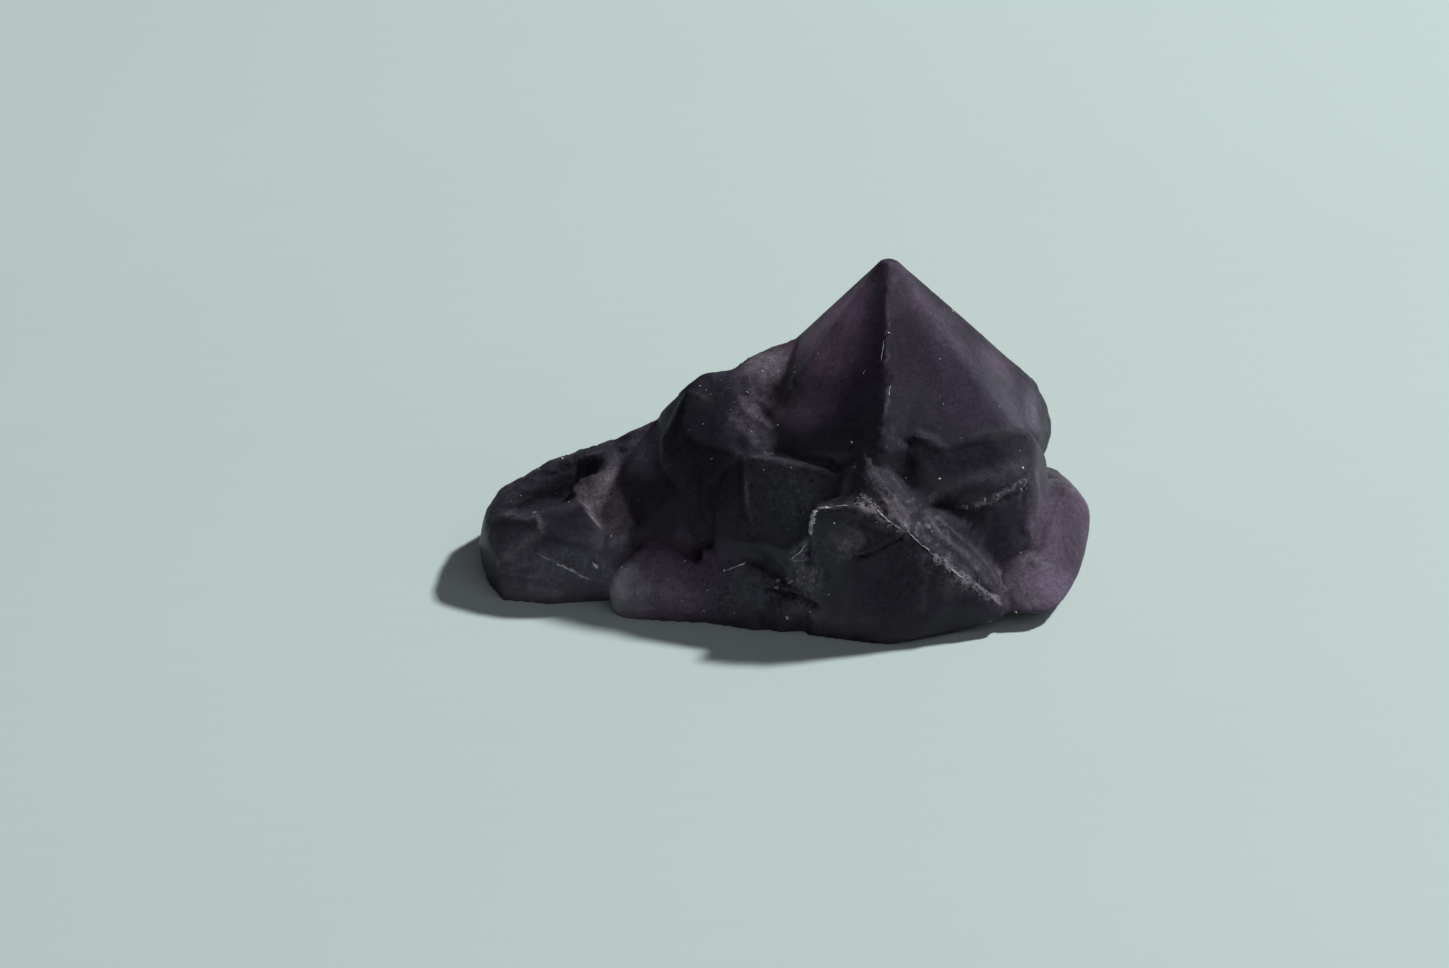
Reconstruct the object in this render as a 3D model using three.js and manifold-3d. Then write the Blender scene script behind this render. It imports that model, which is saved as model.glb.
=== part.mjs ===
// Amethyst cluster: one piece of quartz, a six-sided point grown together with smaller crystals
// and with broken ground between them. Millimetres, +Z up, +X right, -Y toward the front.
// The origin is under the middle of the cluster, on the flat it rests on.
import * as THREE from "three";
import { ConvexGeometry } from "three/addons/geometries/ConvexGeometry.js";
import { mergeVertices } from "three/addons/utils/BufferGeometryUtils.js";
import Module from "manifold-3d";

const wasm = await Module();
wasm.setup();

// Driving dimensions
const QUARTZ_EDGE_SLOPE = 1.1; // drop over run of an edge of a six-sided quartz point
const MAIN_APEX = [8.5, 0, 23.15];
const MAIN_AZIMUTH = -97; // degrees, heading of the front edge
const MAIN_REACH = [9.8, 10.4, 12.4, 11.6, 11.4, 11.8]; // run of the six edges, from the front edge round
const TIP_WEAR = 0.75; // height lost from the worn tip
const ROOT_DEPTH = -3; // lumps reach below the base and are cut off level with it
const RIM_START = 3; // x from which the front rim climbs clear of the base
const RIM_CLIMB = 0.1; // rise of the rim for each millimetre to the right
const RIM_MOST = 1.2; // its greatest rise
const RIM_REACH = 1.6; // how far the rim stands forward for each millimetre it rises
const UNDERCUT_RUN = 2.4; // run of the underside from the rim back to the base, over its rise
const SCOOP_DETAIL = 5; // facets of the curved fracture cuts

// Closed solid of a three.js geometry
function solidOf(geometry) {
  geometry.deleteAttribute("normal");
  geometry.deleteAttribute("uv");
  const welded = mergeVertices(geometry, 1e-4);
  return new wasm.Manifold(
    new wasm.Mesh({
      numProp: 3,
      vertProperties: new Float32Array(welded.attributes.position.array),
      triVerts: new Uint32Array(welded.index.array),
    }),
  );
}

// Faceted lump through its corner points
function lump(points) {
  const corners = points.map((point) => new THREE.Vector3(...point));
  return solidOf(new ConvexGeometry(corners));
}

// Lump that stands on the outline of its ground points, carried down below the base
function footedLump(ground, points) {
  const feet = ground.map(([x, y]) => [x, y, ROOT_DEPTH]);
  const rims = ground.map(([x, y]) => [x, y, 0]);
  return lump([...feet, ...rims, ...points]);
}

// The same at the front right, where the rim is clear of the base and the underside slopes back
function overhungLump(ground, points) {
  const rims = ground.map(([x, y]) => {
    const rise = THREE.MathUtils.clamp((x - RIM_START) * RIM_CLIMB, 0, RIM_MOST);
    return [x, y - RIM_REACH * rise, rise];
  });
  const feet = rims.map(([x, y, rise]) => {
    const run = rise > 0 ? UNDERCUT_RUN * (rise - ROOT_DEPTH) : 0;
    return [x, y + run, ROOT_DEPTH];
  });
  return lump([...feet, ...rims, ...points]);
}

// Six-sided point on a prism. The edges leave the apex 60 degrees apart, each with its own run,
// and `lean` tips the whole crystal: [degrees to the back, degrees to the right].
function crystal(apex, azimuth, reach, length, lean) {
  const corners = [new THREE.Vector3(0, 0, 0)];
  reach.forEach((run, index) => {
    const angle = THREE.MathUtils.degToRad(azimuth + 60 * index);
    const x = run * Math.cos(angle);
    const y = run * Math.sin(angle);
    corners.push(new THREE.Vector3(x, y, -QUARTZ_EDGE_SLOPE * run));
    corners.push(new THREE.Vector3(x, y, -length));
  });
  const back = THREE.MathUtils.degToRad(lean[0]);
  const right = THREE.MathUtils.degToRad(lean[1]);
  const geometry = new ConvexGeometry(corners);
  geometry.rotateX(-back);
  geometry.rotateY(right);
  geometry.translate(...apex);
  return solidOf(geometry);
}

// Curved fracture: a ball to cut away, stretched by `stretch` along X and then turned by `turn`
// degrees about Y
function scoop(centre, radius, stretch = 1, turn = 0) {
  const ball = new THREE.IcosahedronGeometry(radius, SCOOP_DETAIL);
  ball.scale(stretch, 1, 1);
  ball.rotateY(THREE.MathUtils.degToRad(turn));
  ball.translate(...centre);
  return solidOf(ball);
}

// Flat fracture: a block to cut away, its near face through `point` and facing against `normal`
function cleave(point, normal, size = 30) {
  const block = new THREE.BoxGeometry(size, size, size);
  block.translate(0, 0, size / 2);
  const heading = new THREE.Vector3(...normal).normalize();
  const turn = new THREE.Quaternion();
  turn.setFromUnitVectors(new THREE.Vector3(0, 0, 1), heading);
  block.applyQuaternion(turn);
  block.translate(...point);
  return solidOf(block);
}

// Main six-sided point, its tip worn and its front edge chipped near the foot
const mainPoint = crystal(MAIN_APEX, MAIN_AZIMUTH, MAIN_REACH, 26, [2, 1])
  .subtract(cleave([8.5, 0, MAIN_APEX[2] - TIP_WEAR], [0.1, 0.1, 1], 4))
  .subtract(cleave([8.5, -9.8, 14.4], [0.5, -1, 0.55], 5));

// Rounded corner where the main point meets its right-hand prism face
const rightCorner = lump([
  [16, 3, 13],
  [16.9, 3.2, 12.6],
  [18.5, 3.7, 10.8],
  [19.6, 4, 9],
  [20.3, 4, 7.4],
  [20.5, 4, 6.1],
  [20.6, 3.5, 5.3],
  [20, 2.5, 4.2],
  [19, -1, 7.6],
  [17.2, -1.5, 10],
  [15, 0, 12.2],
  [18.5, 6.5, 6],
  [13, 3, 4],
  [18, 0, 2],
]);

// Shoulder left of the main point: upright body with a dark sloping top
const shoulder = footedLump(
  [
    [-7.2, -7.8],
    [-1.5, -9.5],
    [4, -6],
    [4, 6],
    [-5.5, 8],
    [-8.4, 1],
  ],
  [
    [-6.4, -0.9, 13.8],
    [-5.1, 0.2, 14.1],
    [-3.4, 1.2, 13.6],
    [-6.8, -4.9, 11.5],
    [-3, -6.9, 11.3],
    [-1, -6.6, 11.5],
    [1.5, -3.4, 12.4],
    [1, 2, 13],
    [-3.5, 6.5, 9.8],
    [-8.5, 0.5, 10.7],
    [-8.2, -2.8, 9.3],
    [-8.4, 2.4, 9.4],
  ],
);

// Streaked slab on the shoulder, against the main point
const streakedSlab = lump([
  [-3.4, 1.2, 13.5],
  [-2, 2.2, 14],
  [-0.7, 3.1, 14.1],
  [0.2, 3.2, 14.2],
  [2.3, 4, 14.6],
  [3.4, 3, 14],
  [-2.4, -6.3, 12],
  [-0.7, -5.2, 12.3],
  [0.9, -4, 12.6],
  [2, -2.6, 13.3],
  [-3, -2.4, 12.9],
  [-2, 2, 9],
  [4, 0, 9],
  [-2.6, -7, 9],
  [2, -6, 9],
]);

// Lavender-faced crystal between the shoulder and the left lump
const facet = footedLump(
  [
    [-11.6, -7.4],
    [-6, -8.6],
    [-5, 4],
    [-13.5, 6.5],
  ],
  [
    [-8.3, 1, 10.2],
    [-8.8, 1, 9.9],
    [-10, 2, 8.7],
    [-11.5, 2.2, 7.8],
    [-13, 2.6, 7.1],
    [-8.6, -2.6, 8.7],
    [-8.4, -3.6, 8.2],
    [-11.4, -2.6, 7.1],
    [-10.6, -6.4, 5.2],
    [-7.2, -5.8, 8],
    [-6.6, -7.2, 5],
    [-9.5, 5.5, 6],
  ],
);

// Left lump, hollow on top
const leftLump = footedLump(
  [
    [-20.6, -6.6],
    [-19.4, -6.9],
    [-16.5, -7.7],
    [-13.4, -8],
    [-10.5, -8.5],
    [-9, 2],
    [-12, 8],
    [-19, 6.2],
    [-22.2, 1.5],
    [-21.8, -4.2],
  ],
  [
    [-11.5, 2.2, 7.9],
    [-13.1, 2.5, 7.2],
    [-15, 3, 6.5],
    [-16.2, 3.2, 6],
    [-17.8, 3, 5],
    [-19.2, 2.5, 4.7],
    [-20.7, 1.8, 4.4],
    [-21.8, -0.4, 3.9],
    [-22.4, -1.4, 1.6],
    [-21.6, -3, 4.6],
    [-20.3, -4.4, 5.8],
    [-17.7, -5, 6.1],
    [-20.8, -5.7, 2.6],
    [-18.2, -5.6, 5.5],
    [-16, -7, 5],
    [-13.8, -7.5, 4.6],
    [-15.1, -4.4, 7],
    [-13.7, -5.5, 6.9],
    [-11.4, -6.2, 5.9],
    [-11, -6.6, 5.2],
    [-12, -1, 7.6],
    [-13.2, -1, 7.6],
  ],
)
  .subtract(scoop([-17.9, -1.1, 10.2], 5.3, 1.25, -18))
  .subtract(scoop([-15.4, -3.2, 10.2], 3.9, 1.2, -30))
  .subtract(scoop([-15.4, -17.4, 1.2], 10.1, 1.3, 12));

// Low clear lobe at the front left
const frontLobe = footedLump(
  [
    [-12.3, -9.4],
    [-11.4, -10],
    [-9.2, -10.5],
    [-6.4, -11],
    [-5, -11.3],
    [-4, -7],
    [-12, -6],
  ],
  [
    [-12.7, -9.1, 1],
    [-12.9, -8.8, 2],
    [-12.5, -8.6, 3.2],
    [-11.7, -8.4, 4],
    [-10.7, -8.5, 4.3],
    [-9.4, -8.4, 4.5],
    [-7.6, -8.7, 4.2],
    [-5.6, -9.4, 3.4],
    [-9.1, -10.3, 2.9],
    [-11.4, -9.9, 2.4],
    [-11.7, -9.9, 1.2],
    [-6.2, -10.6, 2.2],
    [-9.2, -6.6, 4.9],
  ],
);

// Broken ground between the lobe and the middle face
const lowerStep = footedLump(
  [
    [-6.2, -11],
    [-5, -11.3],
    [-3.4, -12.1],
    [-1.6, -12.8],
    [0.4, -13.3],
    [3.4, -14],
    [4, -9],
    [-6, -8],
  ],
  [
    [-5.7, -10.3, 2.6],
    [-4.2, -10.1, 4.2],
    [-2.9, -10.9, 5],
    [-2.1, -11.5, 4.8],
    [-1.3, -12.4, 3.5],
    [0.2, -12.9, 3.3],
    [-3.8, -11.2, 1.6],
    [2, -13.4, 2.2],
    [-6, -8, 4.6],
  ],
).subtract(scoop([-2.2, -15, 2], 3.2, 1.7, 18));

// Flat broken face in the middle of the front
const middleFace = footedLump(
  [
    [-4.6, -10.4],
    [-3.4, -11.6],
    [-0.8, -12.8],
    [3, -13.2],
    [6, -8],
    [-5, -7],
  ],
  [
    [-2.2, -7.1, 11.3],
    [-0.4, -7.4, 11.2],
    [1.3, -7.8, 10.9],
    [3.7, -8.3, 10.6],
    [-2.6, -7.2, 11],
    [-2.8, -9, 8.9],
    [-2.5, -10.2, 7.3],
    [-2.4, -11, 6.3],
    [-3.8, -6.8, 10.4],
    [-4.7, -7.6, 8.8],
    [-5.1, -9, 5.8],
    [-1.4, -12.3, 3.4],
    [0.2, -12.1, 5.6],
    [1.9, -10.7, 8.7],
    [3.6, -10.4, 9],
    [-3.4, -5.4, 10.8],
    [5, -6, 10],
    [5, -8, 10.4],
  ],
).subtract(scoop([-3.6, -13.4, 5.4], 2.9, 1.6, 40));

// Dark saddle between the middle face and the ridge slab
const saddle = lump([
  [3.7, -8.3, 10.7],
  [5, -8.7, 11.9],
  [5.7, -9.4, 12.4],
  [5.7, -10.9, 11.1],
  [5.4, -11.9, 9.9],
  [4.7, -12, 9.8],
  [3.3, -11.6, 9.6],
  [2.1, -11.2, 9.2],
  [3.5, -10.3, 9.2],
  [4, -8, 8],
  [5, -7, 10.8],
]);

// Cheek of the shoulder that faces front and left
const cheek = lump([
  [-6.4, -2, 14.2],
  [-5.4, -1.9, 14],
  [-6.7, -4.9, 11.5],
  [-8.7, -3.2, 10.6],
  [-8.7, -4.9, 9.5],
  [-7.4, -5.8, 8.2],
  [-7.6, -1, 10.6],
  [-5, 0, 12],
  [-4, -5, 10],
  [-6, -3, 7],
]);

// Dark front mass under the bright ridge
const ridgeLine = [
  [6.7, -11.8, 10],
  [7.4, -12.6, 9.1],
  [8.1, -13.1, 8.5],
  [9.2, -13.4, 7.3],
  [10.3, -13.6, 6],
  [11.2, -13.6, 5],
  [12.2, -13.7, 3.9],
  [13.8, -13.7, 2.8],
  [15.2, -14.1, 1.7],
];
const frontMass = overhungLump(
  [
    [1.2, -13.4],
    [3.4, -14],
    [6.2, -14.6],
    [8, -14.6],
    [9.8, -14],
    [12, -13.3],
    [14.9, -12.7],
    [15, -8],
    [2, -8],
  ],
  [
    ...ridgeLine,
    [1.9, -11.6, 9.3],
    [2.5, -11.7, 9.6],
    [3.3, -11.8, 9.7],
    [4.7, -12.1, 9.9],
    [5.8, -12.1, 10],
    [4.6, -13.4, 6.5],
    [7.9, -13.7, 7.2],
    [2.2, -12.2, 7.6],
    [2.6, -12.9, 5],
    [1.4, -13, 3],
    [3, -8, 9],
    [9.8, -10.6, 8.1],
    [11.2, -11.3, 6.1],
    [14.1, -10.3, 5],
    [15.5, -9.5, 2],
  ],
)
  .subtract(scoop([5.6, -15.9, 9], 3.15, 1.5, 14))
  .subtract(scoop([12.6, -19.5, 1.3], 5.1, 1.4, 20));

// Steep slab whose streaked side falls to the right of the ridge
const ridgeSlab = lump([
  [5.1, -8.9, 12],
  [5.7, -9.4, 12.6],
  [6.6, -9.4, 12.5],
  [7.2, -9.4, 11.9],
  [5.6, -11, 11.2],
  ...ridgeLine.slice(0, 3),
  [5.5, -12.1, 9.9],
  [8, -9.6, 11.2],
  [8.9, -10.4, 9.6],
  [9.8, -10.9, 8.3],
  [9, -12.4, 7.6],
  [6, -7, 11.8],
  [9, -7, 8],
  [4, -8, 6],
  [9, -10, 4],
]);

// Second ridge right of the slab
const secondRidge = lump([
  [9.7, -11, 8.3],
  [10.4, -11.6, 7.2],
  [11.2, -11.9, 6],
  [12.8, -11.6, 5.4],
  [14.1, -10.4, 6.2],
  [15.4, -10.6, 3],
  [10.2, -12.6, 4.6],
  [9, -7, 8.6],
  [15, -7, 6],
  [9, -8, 2],
  [15.4, -9, 1],
]).subtract(scoop([12.2, -12.9, 7.4], 1.7));

// Right front crystal: little tip, dark top face, rough lower edge and an upright corner
const rightTip = lump([
  [9.1, -8.7, 12.9],
  [9.5, -9.1, 13.4],
  [10.5, -8.9, 13],
  [11.6, -8.9, 12],
  [12.6, -9, 11.2],
  [9, -9.6, 10.8],
  [9.4, -10.2, 9.6],
  [11.8, -9.8, 8.8],
  [9.8, -5, 12.6],
  [12, -5, 11],
  [9, -6, 7],
  [13, -7, 7],
]);
const rightCrystal = footedLump(
  [
    [16.9, -12.4],
    [18.6, -9.4],
    [19.3, -2],
    [12, -4],
    [13.5, -9],
  ],
  [
    [11.5, -8.9, 11.9],
    [13, -8.4, 12.2],
    [14.4, -8, 12.3],
    [16, -7.2, 12],
    [17.2, -6.5, 11.7],
    [17.9, -6.1, 11.2],
    [18.3, -6.1, 10.5],
    [12.2, -10, 8.1],
    [13.5, -10.1, 7.5],
    [15.6, -9.7, 8.2],
    [17.2, -9.2, 9],
    [17.8, -8.6, 9.2],
    [17.3, -9.8, 6.1],
    [16.9, -11.3, 2.6],
    [19.4, -3, 7.2],
    [12, -5, 11],
    [17, -3, 10.5],
  ],
)
  .subtract(scoop([14.2, -14.3, 4.2], 5.1))
  .subtract(scoop([14.6, -12.4, 6], 3.1));

// Shallow ground under the rough lower edge of the right front crystal, and beside its tip
const rightHollow = lump([
  [11.4, -9.5, 8.2],
  [12.2, -9.7, 7.9],
  [13.5, -9.7, 7.3],
  [15.6, -9.4, 7.9],
  [17, -9.3, 6.8],
  [16.6, -10.4, 4],
  [16.4, -11.4, 1.2],
  [15.5, -11.5, 1.4],
  [15.2, -10.8, 2.8],
  [14.1, -10.5, 5.4],
  [12.8, -11.1, 5.5],
  [10.4, -10.4, 7.8],
  [13, -7, 7],
  [15, -7, 3],
]);
const tipFoot = lump([
  [8, -9.4, 11.2],
  [8.9, -10.3, 9.6],
  [9.7, -10.8, 8.4],
  [9.2, -9.5, 10.8],
  [9.5, -10.1, 9.6],
  [10.8, -10.1, 8.5],
  [11.8, -9.7, 8.6],
  [9, -8, 10],
  [11, -8, 9],
  [10, -8.5, 7.6],
]);

// Clear lobe at the right
const rightLobe = overhungLump(
  [
    [15.2, -12.1],
    [17.2, -12.3],
    [18, -12.2],
    [19, -11.6],
    [19.9, -10.2],
    [20.8, -8.2],
    [22.2, -3],
    [21.8, 3],
    [19, 5.4],
    [15, 0],
    [15.6, -11],
  ],
  [
    [20.2, -2, 4.3],
    [20.8, -1.9, 4.3],
    [21.3, -2, 4.2],
    [21.1, -4, 5.5],
    [21.7, -4, 4.4],
    [22.4, -4.6, 3.6],
    [22.2, -5.4, 2.6],
    [21.9, -6.2, 1.6],
    [21.4, -8.6, 1.7],
    [20.3, -11, 1.5],
    [18.8, -7.2, 6],
    [18.5, -9.9, 4.1],
    [17.6, -13.5, 1.8],
    [15.2, -12.3, 2.8],
    [15.4, -11, 3.2],
    [19.4, 0, 4.2],
    [20.6, 3, 2.4],
  ],
).subtract(scoop([19.6, -9.8, 6.8], 1.9));

// Smaller crystals at the back
const backPoint = crystal([12.6, 14.1, 8.6], 70, [4.1, 4.6, 4.4, 3.9, 4.4, 4.2], 17, [36, 8]);
const backSpur = crystal([-4.8, 12, 6.6], 35, [3.3, 3.9, 3.3, 3.6, 3.5, 3.7], 13, [34, -12]);
const leftSpur = crystal([-15.2, 7.6, 3.2], 80, [2.6, 2.9, 2.7, 2.4, 2.8, 2.6], 8, [30, -8]);
const rightSpur = crystal([19.2, 9.4, 4.6], 15, [2.5, 2.8, 2.4, 2.6, 2.9, 2.7], 9, [24, 26]);
const backGround = footedLump(
  [
    [-12, 7],
    [-6, 11],
    [0, 12.6],
    [4.5, 12.4],
    [9, 13.8],
    [13.4, 13.4],
    [18.5, 9.4],
    [19.5, 6],
    [18, 0],
    [-10, 0],
  ],
  [
    [-7.5, 6.5, 5.6],
    [-1, 10.2, 5.2],
    [2, 9.2, 7.4],
    [8, 11.6, 5.6],
    [16, 8.6, 5.8],
    [18, 6, 5.4],
    [12, 2, 9],
    [-3, 2, 9],
  ],
)
  .subtract(scoop([1.6, 17.2, 5], 6, 1.3, 25))
  .subtract(scoop([16.6, 15.2, 4.4], 5.2, 1.2, -35))
  .subtract(cleave([-8.6, 8.4, 3.4], [-0.35, 0.75, 0.6], 9));

// Sound quartz under the broken front, where the lumps meet
const heart = footedLump(
  [
    [-3, -8],
    [2, -10],
    [10, -10],
    [13.5, -8.5],
    [16, 4],
    [0, 6],
  ],
  [
    [-1, -5.6, 9.2],
    [1.4, -5.4, 9.6],
    [3, -8, 8],
    [8.6, -9.6, 8.2],
    [9.8, -10.4, 7.2],
    [12, -9.4, 7],
  ],
);

const pieces = [
  heart,
  mainPoint,
  rightCorner,
  shoulder,
  streakedSlab,
  facet,
  leftLump,
  frontLobe,
  lowerStep,
  middleFace,
  saddle,
  cheek,
  frontMass,
  ridgeSlab,
  secondRidge,
  rightTip,
  rightCrystal,
  rightHollow,
  tipFoot,
  rightLobe,
  backPoint,
  backSpur,
  leftSpur,
  rightSpur,
  backGround,
];
const grown = pieces.reduce((joined, piece) => joined.add(piece));
const cluster = grown.subtract(cleave([0, 0, 0], [0, 0, -1], 80));

// three.js geometry of a solid
function geometryOf(solid) {
  const mesh = solid.getMesh();
  const geometry = new THREE.BufferGeometry();
  geometry.setAttribute("position", new THREE.BufferAttribute(mesh.vertProperties, 3));
  geometry.setIndex(new THREE.BufferAttribute(mesh.triVerts, 1));
  geometry.computeVertexNormals();
  return geometry;
}

const amethyst = new THREE.Mesh(
  geometryOf(cluster),
  new THREE.MeshStandardMaterial({ color: 0x3b3044, roughness: 0.25, metalness: 0 }),
);
amethyst.name = "amethyst_cluster";

const object = new THREE.Group();
object.add(amethyst);
export default object;
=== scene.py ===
"""Amethyst cluster: the looks of one piece of dark purple quartz, and the plain stage it stands on."""

import math

import bmesh
import bpy
import numpy as np
from mathutils import Matrix, Vector, noise


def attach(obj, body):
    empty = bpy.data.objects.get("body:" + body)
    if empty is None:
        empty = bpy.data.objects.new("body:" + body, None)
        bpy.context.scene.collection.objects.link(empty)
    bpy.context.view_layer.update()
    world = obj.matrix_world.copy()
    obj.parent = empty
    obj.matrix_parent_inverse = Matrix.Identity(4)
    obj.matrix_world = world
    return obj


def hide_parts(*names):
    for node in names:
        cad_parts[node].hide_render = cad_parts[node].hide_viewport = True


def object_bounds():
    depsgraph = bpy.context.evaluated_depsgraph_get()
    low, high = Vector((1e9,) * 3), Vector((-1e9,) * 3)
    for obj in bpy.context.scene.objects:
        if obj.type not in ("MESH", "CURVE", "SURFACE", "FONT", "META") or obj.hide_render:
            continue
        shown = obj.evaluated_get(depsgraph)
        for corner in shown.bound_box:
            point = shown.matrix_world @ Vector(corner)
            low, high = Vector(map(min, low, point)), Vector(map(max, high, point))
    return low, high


bl_info = {
    "name": "Amethyst Cluster",
    "version": (1, 0, 0),
    "blender": (4, 5, 0),
    "location": "View3D > Sidebar > Amethyst",
    "description": "Builds a dark purple quartz cluster with worn edges, broken faces, crumbs and dust",
    "category": "Add Mesh",
}

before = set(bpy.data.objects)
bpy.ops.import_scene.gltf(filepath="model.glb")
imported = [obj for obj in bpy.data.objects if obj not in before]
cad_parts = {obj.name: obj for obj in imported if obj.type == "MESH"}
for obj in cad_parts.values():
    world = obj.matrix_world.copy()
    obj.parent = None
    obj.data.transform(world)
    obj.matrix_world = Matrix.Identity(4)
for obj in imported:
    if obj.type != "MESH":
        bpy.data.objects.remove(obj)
CAD_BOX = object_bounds()

MM = 0.001
NODE = "amethyst_cluster"

# Main six-sided point, as the solid has it
APEX = (8.5, 0.0, 23.15)
EDGE_HEADING = -97.0
FACE_SLOPE = 51.8
CRYSTAL_LEAN = (2.0, 1.0)

# Crests of fresh splinters: line, half width in millimetres and strength
CRESTS = (
    (
        ((5.4, -11.9, 10.1), (6.3, -12.4, 9.6), (6.9, -12.7, 9.0), (7.5, -12.9, 8.5), (8.1, -13.1, 8.3)),
        0.55, 0.85,
    ),
    (((6.6, -11.4, 10.4), (7.6, -12.2, 9.4), (8.4, -12.7, 8.4)), 0.35, 0.5),
    (((8.1, -13.1, 8.4), (9.4, -13.4, 7.1), (10.4, -13.6, 6.1)), 0.16, 0.5),
    (((10.4, -13.6, 6.1), (11.6, -13.7, 4.9), (12.5, -14.0, 4.0)), 0.45, 0.9),
    (((12.5, -14.0, 4.0), (13.8, -13.9, 3.0), (14.7, -14.0, 2.1)), 0.42, 0.8),
    (((12.1, -9.9, 7.9), (13.3, -10.0, 7.8), (14.5, -9.9, 8.1)), 0.28, 0.72),
    (((14.5, -9.9, 8.1), (15.2, -9.7, 8.4), (17.1, -9.1, 9.1)), 0.45, 0.8),
    (((1.9, -11.6, 9.3), (3.3, -11.9, 9.8), (4.8, -12.1, 10.0)), 0.14, 0.5),
    (((1.6, -11.7, 6.6), (0.9, -11.8, 6.1), (0.4, -12.0, 5.7), (1.2, -12.1, 5.5)), 0.24, 0.6),
    (((-12.4, -1.2, 7.4), (-14.2, -1.0, 6.2)), 0.20, 0.4),
    (((14.7, -14.0, 2.1), (15.4, -14.3, 2.0), (16.2, -14.0, 1.6)), 0.25, 0.4),
    (((0.6, 2.6, 13.9), (0.9, 1.3, 13.8), (1.6, -1.5, 14.7)), 0.25, 0.35),
)

# Ground that lies in small rubble: centre, half sizes in millimetres and strength
RUBBLE = (
    ((1.3, -12.5, 4.8), (1.0, 0.9, 1.1), 0.55),
    ((1.6, -13.0, 3.4), (0.9, 0.8, 1.4), 0.34),
    ((-0.8, -12.3, 3.9), (1.8, 0.9, 1.2), 0.35),
    ((-2.6, -10.4, 6.2), (1.0, 0.9, 1.0), 0.35),
    ((5.8, -12.1, 9.8), (0.8, 0.8, 0.7), 0.75),
    ((4.0, -12.8, 7.6), (1.1, 0.8, 1.0), 0.40),
    ((8.1, -13.0, 8.4), (0.6, 0.5, 0.6), 0.80),
    ((12.2, -13.8, 4.4), (0.8, 0.7, 0.8), 0.70),
    ((0.0, 13.5, 5.0), (5.0, 1.5, 1.5), 0.35),
    ((-14.0, 8.5, 4.0), (3.0, 2.0, 1.5), 0.35),
    ((13.0, 12.0, 4.0), (3.0, 2.0, 2.0), 0.30),
    ((16.6, -9.3, 8.9), (0.8, 0.6, 0.6), 0.45),
    ((-15.4, 0.2, 6.6), (2.6, 1.0, 0.9), 0.30),
)

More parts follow.
